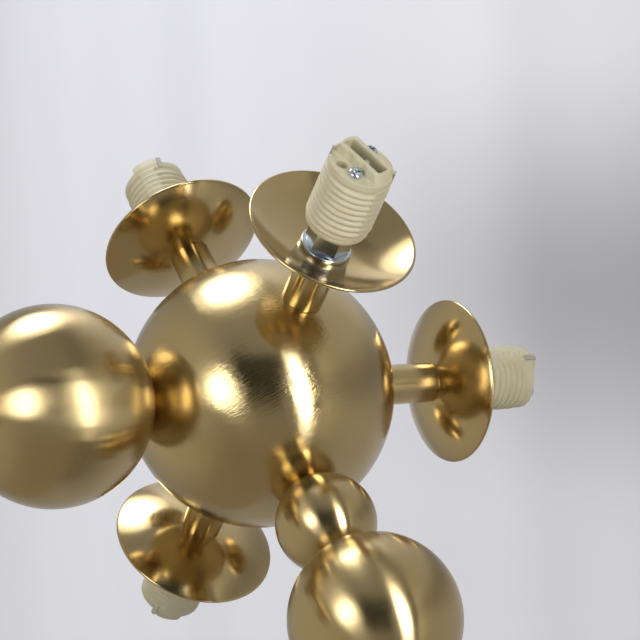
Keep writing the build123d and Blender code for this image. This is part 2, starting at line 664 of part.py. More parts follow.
def terminal_screws():
    """The three clamping screws in the terminal block."""
    length = BLOCK_HEIGHT / 2 - BLOCK_SCREW_RECESS
    screws = []
    for x, y in block_screw_places():
        screw = Cylinder(BLOCK_SCREW_D / 2, length, align=UP)
        screws.append(block_frame() * Pos(x, y, BLOCK_SCREW_RECESS - BLOCK_HEIGHT) * screw)
    return screws


def canopy_leads():
    """The live and neutral leads from the swivel to the outer ways of the terminal block."""
    bottom = CUP_TOP_Z - NIPPLE_GRIP
    across = window_z()
    block_face = BLOCK_X - BLOCK_LENGTH / 2
    lift = -PLATE_DROP - PLATE_THICK - BLOCK_HEIGHT / 2
    leads = []
    for side in (-1, 1):
        near = side * LEAD_OFFSET / 2
        far = side * BLOCK_SCREW_PITCH
        points = [(0, near, bottom), (0, near, across), (CANOPY_LEAD_OUT, near, across)]
        points += [(block_face - CANOPY_LEAD_BEND, far, lift), (block_face + BLOCK_LEAD_GRIP, far, lift)]
        leads.append(round_lead(points, LEAD_D, CANOPY_LEAD_BEND))
    return leads


def earth_screw():
    """The earth screw, up through the plate's middle, with its head below."""
    under = -(PLATE_DROP + PLATE_THICK)
    head = Cylinder(EARTH_HEAD_D / 2, EARTH_HEAD_HEIGHT, align=DOWN)
    head = fillet(head.edges().group_by(Axis.Z)[0], EARTH_HEAD_ROUND)
    shank = Cylinder(EARTH_SCREW_D / 2, PLATE_THICK + EARTH_TAIL, align=UP)
    return Pos(earth_x(), 0, under) * (head + shank)


def save(node, *solids):
    """Write one node: a single solid, or a group of like pieces."""
    shape = solids[0] if len(solids) == 1 else Compound(children=list(solids))
    export_step(shape, f"parts/{node}.step")


def build_ceiling():
    """Everything that stays with the ceiling."""
    save("ceiling_plate", ceiling_plate())
    save("ceiling_nipple", ceiling_nipple())
    save("ceiling_locknuts", *ceiling_locknuts())
    save("canopy", canopy())
    save("canopy_ring_nut", canopy_ring_nut())
    save("terminal_block", terminal_block())
    save("terminal_screws", *terminal_screws())
    save("canopy_leads", *canopy_leads())
    save("earth_screw", earth_screw())


def build_stem():
    """The swivel, the stem and the balls on it."""
    save("swivel_cup", swivel_cup())
    save("swivel_ring", swivel_ring())
    save("swivel_ball", swivel_ball())
    save("stem_nut", stem_nut())
    stem = tube(TUBE_R, TUBE_R - TUBE_WALL, STEM_LENGTH)
    save("stem_tube", Pos(0, 0, STEM_FOOT_Z) * stem)
    save("stem_rod", stem_rod())
    save("stem_cable", stem_cable())
    save("stem_small_ball", Pos(0, 0, STEM_BALL_Z) * ball(SMALL_BALL_D, SEAT_R, TUBE_R))
    save("stem_large_ball", Pos(0, 0, LARGE_BALL_Z) * ball(LARGE_BALL_D, SEAT_R, SEAT_R, BALL_WALL))


def build_hub():
    """The hub, its core and the stack of balls at its side."""
    save("hub_shell", hub_shell())
    save("hub_core", hub_core())
    save("hub_splice", Pos(0, 0, HUB_Z) * Box(SPLICE_SIZE, SPLICE_SIZE, SPLICE_SIZE))
    save("side_rod", side_rod())
    save("side_small_ball", side_small_ball())
    save("end_ball", end_ball())
    save("end_bush", end_bush())


def build_arms():
    """Four like arms, each with its saucer and lampholder."""
    groups = {"dish_washers": [], "dish_nuts": [], "socket_screws": [], "socket_springs": []}
    for name in ARMS:
        frame = arm_frame(name)
        save(f"arm_tube_{name}", frame * arm_tube())
        save(f"arm_rod_{name}", frame * arm_rod())
        save(f"dish_{name}", frame * dish())
        save(f"socket_bridge_{name}", frame * socket_bridge())
        save(f"socket_ceramic_{name}", frame * socket_ceramic())
        save(f"socket_contacts_{name}", *[frame * contact for contact in socket_contacts()])
        save(f"socket_leads_{name}", *[frame * lead for lead in socket_leads()])
        groups["dish_washers"].append(frame * washer())
        groups["dish_nuts"].append(frame * nut())
        groups["socket_screws"] += [frame * screw for screw in socket_screws()]
        groups["socket_springs"] += [frame * spring for spring in socket_springs()]
    for node, solids in groups.items():
        save(node, *solids)


os.makedirs("parts", exist_ok=True)
build_ceiling()
build_stem()
build_hub()
build_arms()
print("pivot z", round(PIVOT_Z, 2), "hub z", round(HUB_Z, 2), "arm reach", round(HOLDER_FOOT + HOLDER_LENGTH, 2))
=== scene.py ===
# %% [markdown]
# # A ball-cluster pendant in turned brass
#
# The object is a small pendant: a hub ball on a stem, four short arms that end in a saucer
# and a bare ceramic lampholder, and a stack of two balls out to one side. Everything here is
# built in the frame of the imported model: metres, +Z up, the ceiling at z = 0.

# %% Load the frame
import json
import math

import bmesh
import bpy
from mathutils import Matrix, Vector


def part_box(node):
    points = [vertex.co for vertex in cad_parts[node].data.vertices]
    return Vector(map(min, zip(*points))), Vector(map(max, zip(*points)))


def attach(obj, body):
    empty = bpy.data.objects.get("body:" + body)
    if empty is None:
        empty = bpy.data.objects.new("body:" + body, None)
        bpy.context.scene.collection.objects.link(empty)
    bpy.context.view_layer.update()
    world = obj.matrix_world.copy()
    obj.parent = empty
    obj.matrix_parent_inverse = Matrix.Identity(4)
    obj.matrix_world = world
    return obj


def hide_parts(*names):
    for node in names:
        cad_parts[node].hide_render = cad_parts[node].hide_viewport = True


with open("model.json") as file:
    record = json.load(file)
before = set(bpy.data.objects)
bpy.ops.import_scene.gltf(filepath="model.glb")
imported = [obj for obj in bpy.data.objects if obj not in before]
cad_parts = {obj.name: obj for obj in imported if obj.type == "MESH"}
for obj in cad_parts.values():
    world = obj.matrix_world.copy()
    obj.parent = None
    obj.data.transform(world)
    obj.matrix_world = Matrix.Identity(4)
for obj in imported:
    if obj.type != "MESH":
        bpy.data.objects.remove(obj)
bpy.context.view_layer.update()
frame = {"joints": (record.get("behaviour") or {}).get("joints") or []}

# %% [markdown]
# ## Sizes
#
# The frame says where each piece stands, so the places below are read from it. What the
# frame can't say, such as the round on an edge, is written here in real millimetres.

# %% Places from the frame
MM = 0.001


def low(node):
    """Lowest corner of a node of the frame."""
    return Vector(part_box(node)[0])


def high(node):
    """Highest corner of a node of the frame."""
    return Vector(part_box(node)[1])


def middle(node):
    """Middle of a node of the frame."""
    return (low(node) + high(node)) / 2


HUB = middle("hub_splice")
PIVOT = Vector(frame["joints"][0]["pos_m"])
SMALL_BALL = middle("side_small_ball")
LARGE_BALL = middle("stem_large_ball")
STEM_BALL = middle("stem_small_ball")
print("hub", tuple(round(c, 4) for c in HUB), "pivot", tuple(round(c, 4) for c in PIVOT))

# %% Real sizes in millimetres
HUB_R = 47.5 * MM
HUB_WALL = 2.0 * MM
SMALL_R = 17.5 * MM
LARGE_R = 35.0 * MM
END_R = 29.5 * MM
SEAT_R = 9.0 * MM
BORE_R = 5.2 * MM
TUBE_R = 7.25 * MM
TUBE_WALL = 1.0 * MM
EDGE = 0.25 * MM            # a turned edge after polishing

TUBE_START = low("arm_tube_back").y - HUB.y
DISH_BACK = high("arm_tube_back").y - HUB.y
WASHER_LIFT = 1.565 * MM    # the land in the saucer, above its back
WASHER_BACK = DISH_BACK + WASHER_LIFT
WASHER_THICK = 1.5 * MM
WASHER_R = 9.0 * MM
NUT_BACK = WASHER_BACK + WASHER_THICK
NUT_FLATS = 14.0 * MM
NUT_HEIGHT = 7.6 * MM
HOLDER_FOOT = low("socket_ceramic_back").y - HUB.y
print("tube from", round(TUBE_START / MM, 2), "saucer at", round(DISH_BACK / MM, 2), "ceramic at",
      round(HOLDER_FOOT / MM, 2), "mm from the hub's centre")

# %% [markdown]
# ## Frames of the arms
#
# Each arm has its own frame: Z points out of the hub and X runs along the lamp slot, which
# the fitter left turned a little on every arm. A piece is modelled once, upright at the
# origin, and its mesh is then put in place by one of these matrices.

# %% Arm frames
SIDEWAYS = ((1, 0, 0), (0, 1, 0))   # directions of the side stack's frame
ARMS = {                            # out, reference for the slot, and its turn in degrees
    "back": ((0, 1, 0), (1, 0, 0), 22.0),
    "front": ((0, -1, 0), (1, 0, 0), 22.0),
    "left": ((-1, 0, 0), (0, 1, 0), -38.3),
    "down": ((0, 0, -1), (1, 0, 0), 63.7),
}


def axis_frame(origin, out, along):
    """A frame at origin with Z along out and X along along."""
    z_axis = Vector(out)
    x_axis = Vector(along)
    y_axis = z_axis.cross(x_axis)
    return Matrix.Translation(origin) @ Matrix((x_axis, y_axis, z_axis)).transposed().to_4x4()


def arm_frame(name):
    """Frame of one arm, turned to its lamp slot."""
    out, along, turn = ARMS[name]
    return axis_frame(HUB, out, along) @ Matrix.Rotation(math.radians(turn), 4, "Z")


print("arms", {name: tuple(arm_frame(name).col[2][:3]) for name in ARMS})

# %% [markdown]
# ## Helpers for turned work
#
# Nearly every brass piece is turned, spun or drawn round, so it is an outline spun about its
# axis. The helper writes a UV map too: u once round the piece and v along the outline in
# millimetres. The brushing of the brass follows that map, as it follows the lathe.

# %% Turning helpers
SHARP_ANGLE = math.radians(38)      # an edge sharper than this is shaded as an edge
ON_AXIS = 1e-7                      # metres


def arc(centre, radius, start, end, steps):
    """Points (radius, height) on an arc of the outline, angles in degrees from the radial axis."""
    points = []
    for step in range(steps + 1):
        angle = math.radians(start + (end - start) * step / steps)
        points.append((centre[0] + radius * math.cos(angle), centre[1] + radius * math.sin(angle)))
    return points


def eased(corners, radius, steps=4):
    """The closed outline with each of its corners rounded to radius, where there is room."""
    points = []
    count = len(corners)
    for index in range(count):
        before = Vector(corners[index - 1])
        here = Vector(corners[index])
        after = Vector(corners[(index + 1) % count])
        one = before - here
        two = after - here
        room = min(one.length, two.length) / 2
        half = one.angle(two) / 2 if one.length and two.length else math.pi / 2
        reach = radius / math.tan(half) if half < math.radians(85) else 0.0
        if reach == 0.0 or here.x < radius or reach > room:
            points.append(tuple(here))
            continue
        start = here + one.normalized() * reach
        end = here + two.normalized() * reach
        centre = here + (one.normalized() + two.normalized()).normalized() * (radius / math.sin(half))
        for step in range(steps + 1):
            blend = start.lerp(end, step / steps) - centre
            points.append(tuple(centre + blend.normalized() * radius))
    return points


def new_piece(name, mesh):
    """An object at the origin for a finished mesh."""
    piece = bpy.data.objects.new(name, mesh)
    bpy.context.scene.collection.objects.link(piece)
    return piece


def made(shape, name):
    """The mesh of a finished bmesh, which is freed."""
    mesh = bpy.data.meshes.new(name)
    shape.to_mesh(mesh)
    shape.free()
    return mesh


def turned(name, outline, place=Matrix.Identity(4), around=96, closed=True):
    """A mesh spun from an outline of (radius, height) points, with its lathe UV map."""
    shape = bmesh.new()
    lathe = shape.loops.layers.uv.new("lathe")
    rings = []
    travel = [0.0]
    for here, after in zip(outline, outline[1:] + outline[:1]):
        travel.append(travel[-1] + math.dist(here, after) / MM)
        if here[0] < ON_AXIS:
            rings.append([shape.verts.new((0, 0, here[1]))] * around)
            continue
        ring = []
        for step in range(around):
            angle = 2 * math.pi * step / around
            spot = (here[0] * math.cos(angle), here[0] * math.sin(angle), here[1])
            ring.append(shape.verts.new(spot))
        rings.append(ring)
    last = len(rings) if closed else len(rings) - 1
    for row in range(last):
        lower = rings[row]
        upper = rings[(row + 1) % len(rings)]
        for step in range(around):
            following = (step + 1) % around
            corners = [(lower[step], step, row), (lower[following], step + 1, row),
                       (upper[following], step + 1, row + 1), (upper[step], step, row + 1)]
            kept = []
            for corner in corners:
                if corner[0] not in [other[0] for other in kept]:
                    kept.append(corner)
            if len(kept) < 3:
                continue
            face = shape.faces.new([corner[0] for corner in kept])
            for loop, corner in zip(face.loops, kept):
                loop[lathe].uv = (corner[1] / around, travel[corner[2]])
    bmesh.ops.recalc_face_normals(shape, faces=shape.faces)
    mesh = made(shape, name)
    mesh.transform(place)
    mesh.shade_smooth()
    mesh.set_sharp_from_angle(angle=SHARP_ANGLE)
    return mesh


def carry(name, mesh, material, node, body="pendant"):
    """A finished piece that stands for its node and rides on its body."""
    piece = new_piece(name, mesh)
    mesh.materials.clear()
    mesh.materials.append(material)
    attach(piece, body)
    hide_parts(node)
    return piece


def lathe_piece(name, node, outline, place, around, material, body="pendant"):
    """A brass piece turned from its outline, which stands for its node."""
    mesh = turned(node, outline, place, around)
    return carry(name, mesh, material, node, body)


print("turning helpers ready")

# %% [markdown]
# ## Helpers for materials
#
# A colour is written as its sRGB hex value and turned to linear once. Each kind of node that
# the finishes share has a helper that adds it and gives its output, so that a finish below
# reads as a short recipe.

# %% Node helpers
def linear(code):
    """Linear RGBA of an sRGB hex colour."""
    channels = [int(code[index:index + 2], 16) / 255 for index in (1, 3, 5)]
    return [c / 12.92 if c <= 0.04045 else ((c + 0.055) / 1.055) ** 2.4 for c in channels] + [1.0]


def fill(tree, node, **inputs):
    """Set a node's inputs by name, or by i and a number; each is a value or a socket."""
    for key, value in inputs.items():
        numbered = key[0] == "i" and key[1:].isdigit()
        socket = node.inputs[int(key[1:]) if numbered else key.replace("_", " ")]
        if isinstance(value, bpy.types.NodeSocket):
            tree.links.new(value, socket)
        else:
            socket.default_value = value


def add_node(tree, kind, settings=None, **inputs):
    """Add a node: settings are its properties, the rest its inputs."""
    node = tree.nodes.new(kind)
    for key, value in (settings or {}).items():
        setattr(node, key, value)
    fill(tree, node, **inputs)
    return node


def calc(tree, operation, *values):
    """The result of a Math node."""
    inputs = {f"i{index}": value for index, value in enumerate(values)}
    return add_node(tree, "ShaderNodeMath", {"operation": operation}, **inputs).outputs["Value"]


def remap(tree, value, span, result, smooth=True):
    """A value mapped from one span to another, on a soft or a straight slope."""
    settings = {"interpolation_type": "SMOOTHSTEP" if smooth else "LINEAR"}
    node = add_node(tree, "ShaderNodeMapRange", settings, Value=value,
                    i1=span[0], i2=span[1], i3=result[0], i4=result[1])
    return node.outputs["Result"]


def dot(tree, vector, direction):
    """How far a vector reaches along a direction."""
    settings = {"operation": "DOT_PRODUCT"}
    return add_node(tree, "ShaderNodeVectorMath", settings, i0=vector, i1=direction).outputs["Value"]


def own_place(tree):
    """The piece's own coordinates, in metres."""
    return add_node(tree, "ShaderNodeTexCoord").outputs["Object"]


def noise(tree, place, scale, detail, roughness=0.5, dimensions="3D"):
    """The value of a noise texture."""
    node = add_node(tree, "ShaderNodeTexNoise", {"noise_dimensions": dimensions}, Vector=place,
                    Scale=scale, Detail=detail, Roughness=roughness)
    return node.outputs["Fac"]


def mix(tree, factor, one, other):
    """Two colours mixed; each is an sRGB code, an RGBA value or a socket."""
    ends = [linear(end) if isinstance(end, str) else end for end in (one, other)]
    return add_node(tree, "ShaderNodeMix", {"data_type": "RGBA"}, i0=factor, i6=ends[0],
                    i7=ends[1]).outputs[2]


def bump(tree, height, depth, strength=1.0, **under):
    """A normal that follows a height, with its real depth in millimetres."""
    return add_node(tree, "ShaderNodeBump", Height=height, Strength=strength,
                    Distance=depth * MM, **under).outputs["Normal"]


def new_material(name):
    """An empty node material with its Principled shader."""
    material = bpy.data.materials.new(name)
    material.use_nodes = True
    tree = material.node_tree
    tree.nodes.clear()
    shader = add_node(tree, "ShaderNodeBsdfPrincipled")
    add_node(tree, "ShaderNodeOutputMaterial", Surface=shader.outputs["BSDF"])
    return material, tree, shader


print("white is", linear("#FFFFFF"))

# %% [markdown]
# ## Brass, brushed on the lathe
#
# The balls, tubes and the canopy are brass, brushed with a fine pad while they turn and then
# lacquered. The pad leaves shallow rings round the axis, so a highlight is drawn out across
# the rings, from pole to pole. A warm metal with a strong anisotropy along the map's v gives
# that stretch. The rings themselves are about 0.05 mm apart, too fine to show, so they are
# drawn 0.4 mm apart. Cloudy patches in the roughness are the lacquer. The hub was rubbed by
# hand as well: fine hairlines, in patches, cross its rings and fray its highlights.

# %% Brushed brass
BRASS = "#CDB888"
BRASS_DEEP = "#C2AB7A"
RING_STRETCH = (6.0, 2.5, 1.0)      # noise cells once round, and per millimetre along the outline
RUB_TURN = math.radians(-55)        # about X: the hub was rubbed at a slant between two arms
RUB_FINE = 0.7 * MM                 # between hairlines
RUB_LONG = 16.0 * MM                # along one hairline


def rub(tree, place, clouds, depth):
    """The normal of hand-rubbed hairlines in patches, depth in millimetres."""
    slant = add_node(tree, "ShaderNodeMapping", {"vector_type": "TEXTURE"}, Vector=place,
                     Rotation=(RUB_TURN, 0.0, 0.0), Scale=(RUB_FINE, RUB_LONG, RUB_FINE))
    lines = noise(tree, slant.outputs["Vector"], 1.0, 3.0, 0.7)
    patch = remap(tree, clouds, (0.42, 0.62), (0.15, 1.0))
    return bump(tree, calc(tree, "MULTIPLY", lines, patch), depth)


def brass(name, brushed, roughness, anisotropy, rubbed=0.0):
    """Lacquered champagne brass; brushed and rubbed are the depths of its marks in millimetres."""
    material, tree, shader = new_material(name)
    lathe = add_node(tree, "ShaderNodeUVMap", {"uv_map": "lathe"})
    stretch = add_node(tree, "ShaderNodeMapping", Vector=lathe.outputs["UV"], Scale=RING_STRETCH)
    place = own_place(tree)
    rings = noise(tree, stretch.outputs["Vector"], 1.0, 3.0, 0.6, "2D")
    clouds = noise(tree, place, 45.0, 4.0, 0.55)
    specks = noise(tree, place, 900.0, 2.0)
    wander = calc(tree, "MULTIPLY_ADD", clouds, 0.06, roughness - 0.03)
    grain = calc(tree, "MULTIPLY_ADD", rings, 0.10, wander)
    flecks = calc(tree, "MULTIPLY_ADD", specks, 0.04, grain)
    under = {"Normal": rub(tree, place, clouds, rubbed)} if rubbed else {}
    across = add_node(tree, "ShaderNodeTangent", {"direction_type": "UV_MAP", "uv_map": "lathe"})
    fill(tree, shader, Base_Color=mix(tree, clouds, BRASS, BRASS_DEEP), Roughness=flecks,
         Normal=bump(tree, rings, brushed, **under), Tangent=across.outputs["Tangent"], Metallic=1.0,
         Anisotropic=anisotropy, Anisotropic_Rotation=0.25, Coat_Weight=0.15, Coat_Roughness=0.12)
    return material


BRUSHED_BRASS = brass("brass_brushed_lacquered", 0.0010, 0.14, 0.95)
HUB_BRASS = brass("brass_fine_brushed_lacquered", 0.0014, 0.09, 0.85, rubbed=0.11)
TUBE_BRASS = brass("brass_tube_fine_brushed_lacquered", 0.0014, 0.09, 0.85)
POLISHED_BRASS = brass("brass_semi_polished", 0.0005, 0.09, 0.4)
for made_brass in (BRUSHED_BRASS, HUB_BRASS, TUBE_BRASS, POLISHED_BRASS):
    print("finish", made_brass.name)

# %% [markdown]
# ## Zinc plate, ceramic and the small materials
#
# The nuts and washers are steel with bright blue-white zinc: a bluish metal whose gloss is a
# little patchy. The lampholders are pressed steatite, a bare, cream ceramic with a fine matt
# skin and the odd dark speck. Leads are white silicone, and the contacts nickel-plated brass.

# %% Zinc plate
def zinc():
    """Bright zinc plate with its fine crystalline patches."""
    material, tree, shader = new_material("steel_bright_zinc_plate")
    place = own_place(tree)
    patches = noise(tree, place, 700.0, 3.0, 0.6)
    bloom = noise(tree, place, 140.0, 2.0)
    fill(tree, shader, Base_Color=mix(tree, bloom, "#E3E7EA", "#C9D3DC"), Metallic=1.0,
         Roughness=calc(tree, "MULTIPLY_ADD", patches, 0.16, 0.10), Normal=bump(tree, patches, 0.008))
    return material


ZINC = zinc()
print("plate", ZINC.name)

# %% Pressed steatite ceramic
def steatite():
    """Bare cream steatite: fine matt grain, warmer in random clouds, with a few dark specks."""
    material, tree, shader = new_material("ceramic_bare_steatite")
    place = own_place(tree)
    grain = noise(tree, place, 2200.0, 3.0, 0.6)
    cloud = noise(tree, place, 160.0, 3.0)
    speck = add_node(tree, "ShaderNodeTexVoronoi", Vector=place, Scale=420.0, Randomness=1.0)
    spot = remap(tree, speck.outputs["Distance"], (0.03, 0.07), (1.0, 0.0), smooth=False)
    mark = calc(tree, "MULTIPLY", spot, calc(tree, "GREATER_THAN", cloud, 0.60))
    tone = mix(tree, cloud, "#D9D1B6", "#C9C0A2")
    fill(tree, shader, Base_Color=mix(tree, mark, tone, "#6E6650"), Normal=bump(tree, grain, 0.02),
         Roughness=calc(tree, "MULTIPLY_ADD", grain, 0.2, 0.42), Subsurface_Weight=0.15,
         Subsurface_Radius=(0.9 * MM, 0.7 * MM, 0.4 * MM))
    return material


STEATITE = steatite()
print("ceramic", STEATITE.name)

# %% Small materials
def plain_grain(name, code, dark, roughness, metallic, grain_mm, depth_mm):
    """A moulded, drawn or plated skin: two close tones and a fine grain of a real size."""
    material, tree, shader = new_material(name)
    grain = noise(tree, own_place(tree), 1.0 / (grain_mm * MM), 3.0)
    fill(tree, shader, Base_Color=mix(tree, grain, code, dark), Metallic=metallic,
         Roughness=calc(tree, "MULTIPLY_ADD", grain, 0.15, roughness - 0.07),
         Normal=bump(tree, grain, depth_mm))
    return material


NICKEL = plain_grain("nickel_plated_spring_brass", "#E2DED2", "#CBC4B4", 0.34, 1.0, 0.4, 0.004)
SILICONE = plain_grain("silicone_lead_insulation", "#E6E4DC", "#D8D5CB", 0.45, 0.0, 0.6, 0.01)
NYLON = plain_grain("nylon_terminal_block", "#E4E1D6", "#D3CFC1", 0.5, 0.0, 0.8, 0.01)
STRAP_STEEL = plain_grain("zinc_plated_strap_steel", "#C9CDD1", "#AEB4BA", 0.34, 1.0, 1.6, 0.01)
CAST_BRASS = plain_grain("cast_brass_core", "#C2A268", "#9F7F48", 0.42, 1.0, 0.9, 0.05)
TURNED_BRASS = plain_grain("turned_brass_thread", "#CFB27C", "#B89558", 0.25, 1.0, 0.3, 0.01)
print("small materials ready")

# %% [markdown]
# ## The balls
#
# Each ball is turned: a sphere with a flat seat at both ends of its axis and a hole for the
# threaded rod. A UV sphere would have no seats and its poles would pinch, so the outline of
# half a section is spun instead. The lathe rings of the finish then run round the stack.

# %% Turned balls
BALL_STEPS = 96


def seat_height(radius, seat):
    """From a ball's middle to a flat of radius seat."""
    return math.sqrt(radius**2 - seat**2)


def ball_outline(radius, low_seat, high_seat, wall=None):
    """Outline of a ball with two seats and a rod hole, solid or hollow."""
    low_angle = -math.degrees(math.acos(low_seat / radius))
    high_angle = math.degrees(math.acos(high_seat / radius))
    outside = arc((0, 0), radius, low_angle, high_angle, BALL_STEPS)
    low_z = -seat_height(radius, low_seat)
    high_z = seat_height(radius, high_seat)
    outline = [(BORE_R, low_z)] + outside + [(BORE_R, high_z)]
    if wall:
        inner = radius - wall
        inner_angle = math.degrees(math.acos(BORE_R / inner))
        outline += arc((0, 0), inner, inner_angle, -inner_angle, BALL_STEPS // 2)
    return outline


lathe_piece("side_small_ball_turned", "side_small_ball", ball_outline(SMALL_R, SEAT_R, SEAT_R),
            axis_frame(SMALL_BALL, *SIDEWAYS), 160, BRUSHED_BRASS)
lathe_piece("stem_large_ball_turned", "stem_large_ball", ball_outline(LARGE_R, SEAT_R, SEAT_R, HUB_WALL),
            Matrix.Translation(LARGE_BALL), 224, BRUSHED_BRASS)
STEM_BALL.z = low("stem_small_ball").z + seat_height(SMALL_R, SEAT_R)
lathe_piece("stem_small_ball_turned", "stem_small_ball", ball_outline(SMALL_R, SEAT_R, TUBE_R),
            Matrix.Translation(STEM_BALL), 160, BRUSHED_BRASS)
print("balls turned, radii", SMALL_R, LARGE_R)

# %% [markdown]
# The end ball is hollow and closed at its far side, with the brazed bush showing as a ring
# round the rod inside. Its outline starts on the seat and ends on the axis.

# %% End ball
END_BUSH_R = 8.0 * MM


def end_ball_outline():
    """Outline of the hollow end ball, open at its seat and closed at its pole."""
    seat_angle = -math.degrees(math.acos(SEAT_R / END_R))
    inner = END_R - HUB_WALL
    mouth_angle = -math.degrees(math.acos(END_BUSH_R / inner))
    outside = arc((0, 0), END_R, seat_angle, 90, BALL_STEPS)
    inside = arc((0, 0), inner, 90, mouth_angle, BALL_STEPS // 2)
    return [(END_BUSH_R, -seat_height(END_R, SEAT_R))] + outside + inside


END_BALL = Vector((low("end_ball").x + seat_height(END_R, SEAT_R), HUB.y, HUB.z))
lathe_piece("end_ball_turned", "end_ball", end_ball_outline(), axis_frame(END_BALL, *SIDEWAYS), 200,
            BRUSHED_BRASS)
print("end ball at", tuple(round(c, 4) for c in END_BALL))

# %% [markdown]
# ## The hub
#
# The hub is the same kind of ball with six seats. It is turned about the axis of the side
# stack, as its rings show, so that axis is the lathe axis of the mesh. The four other seats
# are pressed flat afterwards, and their rod holes are cut with a Boolean.

# %% Hub ball
CUTTER_SIDES = 48
PRESSED_SEATS = {(0, 1, 0): TUBE_R, (0, -1, 0): TUBE_R, (0, 0, 1): SEAT_R, (0, 0, -1): TUBE_R}


def cut(mesh, cutters, crossing=False):
    """The mesh with every cutter taken away; crossing says that the pieces overlap each other."""
    host = new_piece("cut_host", mesh)
    shape = bmesh.new()
    for cutter in cutters:
        shape.from_mesh(cutter)
    tool = new_piece("cut_tool", made(shape, "cutters"))
    modifier = host.modifiers.new("cut", "BOOLEAN")
    modifier.operation = "DIFFERENCE"
    modifier.solver = "EXACT"
    modifier.use_self = crossing
    modifier.object = tool
    result = finished(host)
    bpy.data.objects.remove(tool)
    return result


def finished(host):
    """The host's mesh with its modifiers made real; the host is removed."""
    graph = bpy.context.evaluated_depsgraph_get()
    mesh = bpy.data.meshes.new_from_object(host.evaluated_get(graph), preserve_all_data_layers=True,
                                           depsgraph=graph)
    bpy.data.objects.remove(host)
    return mesh


def press_flat(mesh, centre, direction, height):
    """Press every point beyond a plane on that plane."""
    out = Vector(direction)
    for vertex in mesh.vertices:
        beyond = (vertex.co - centre).dot(out) - height
        if beyond > 0:
            vertex.co -= out * beyond


hub_outline = ball_outline(HUB_R, SEAT_R, TUBE_R, HUB_WALL)
hub_mesh = turned("hub", hub_outline, axis_frame(HUB, *SIDEWAYS), 256)
rod_hole = [(0, HUB_R / 2), (BORE_R, HUB_R / 2), (BORE_R, HUB_R * 1.1), (0, HUB_R * 1.1)]
hub_cutters = []
for direction, seat in PRESSED_SEATS.items():
    press_flat(hub_mesh, HUB, direction, seat_height(HUB_R, seat))
    hole_frame = axis_frame(HUB, direction, (1, 0, 0))
    hub_cutters.append(turned("rod_hole", rod_hole, hole_frame, CUTTER_SIDES, closed=False))
hub_mesh = cut(hub_mesh, hub_cutters)
carry("hub_ball_turned", hub_mesh, HUB_BRASS, "hub_shell")
print("hub faces", len(hub_mesh.polygons))

# %% [markdown]
# ## Arms: tubes and saucers
#
# The short tubes are drawn brass with their ends eased. The saucers are spun from sheet: a
# shallow spherical dish whose rim is rolled to a bead. Both follow the same rule on all four
# arms, so each is modelled once and stamped on every arm's frame.

# %% Tubes
TUBE_EASE = 0.45 * MM


def tube_outline(start, end, radius, wall):
    """Outline of a drawn tube with eased ends."""
    corners = [(radius - wall, start), (radius, start), (radius, end), (radius - wall, end)]
    return eased(corners, TUBE_EASE)


arm_tube = tube_outline(TUBE_START, DISH_BACK, TUBE_R, TUBE_WALL)
for arm in ARMS:
    lathe_piece(f"arm_tube_drawn_{arm}", f"arm_tube_{arm}", arm_tube, arm_frame(arm), 128, TUBE_BRASS)
print("tubes", round((DISH_BACK - TUBE_START) / MM, 1), "mm long")

# %% Saucers
DISH_R = 30.0 * MM
DISH_DEPTH = 9.0 * MM
DISH_THICK = 1.2 * MM
LAND_R = 9.4 * MM
SKIN_STEPS = 40             # points along one skin of a spun piece
BEAD_STEPS = 10


def saucer_outline():
    """Outline of the spun saucer, from its hole, over the back, round the rim and back inside."""
    centre = ((DISH_R**2 - TUBE_R**2) / DISH_DEPTH + DISH_DEPTH) / 2
    outer = math.hypot(centre, TUBE_R)
    inner = outer - DISH_THICK
    back_start = math.degrees(math.asin(TUBE_R / outer)) - 90
    rim_angle = math.degrees(math.asin(DISH_R / outer)) - 90
    land_angle = math.degrees(math.asin(LAND_R / inner)) - 90
    bead = DISH_THICK / 2
    middle_r = outer - bead
    face_out = rim_angle - math.degrees(bead / middle_r)
    axis = (0, DISH_BACK + centre)
    back = arc(axis, outer, back_start, face_out, SKIN_STEPS)
    bead_centre = arc(axis, middle_r, face_out, face_out, 1)[0]
    bead_points = arc(bead_centre, bead, face_out, face_out + 180, BEAD_STEPS)
    inside = arc(axis, inner, face_out, land_angle, SKIN_STEPS)
    land_z = inside[-1][1]
    return [(BORE_R, DISH_BACK)] + back + bead_points[1:-1] + inside + [(BORE_R, land_z)]


for arm in ARMS:
    dish_mesh = turned(f"saucer_{arm}", saucer_outline(), arm_frame(arm), 192)
    carry(f"saucer_spun_{arm}", dish_mesh, POLISHED_BRASS, f"dish_{arm}")
print("saucer faces", len(dish_mesh.polygons))

# %% [markdown]
# ## Geometry Nodes: one tree for all the fasteners
#
# Washers, nuts, screws and spring tongues repeat on every arm. A small host mesh holds one
# point per fastener, with the directions of its axis and of its flat as attributes. One tree
# then instances the fastener on the points, makes the instances real and gives them their
# material, because instances are lost in the export.

# %% Fastener tree
def named_input(tree, name, kind):
    """Add a named input to a tree's interface."""
    return tree.interface.new_socket(name=name, in_out="INPUT", socket_type=kind)


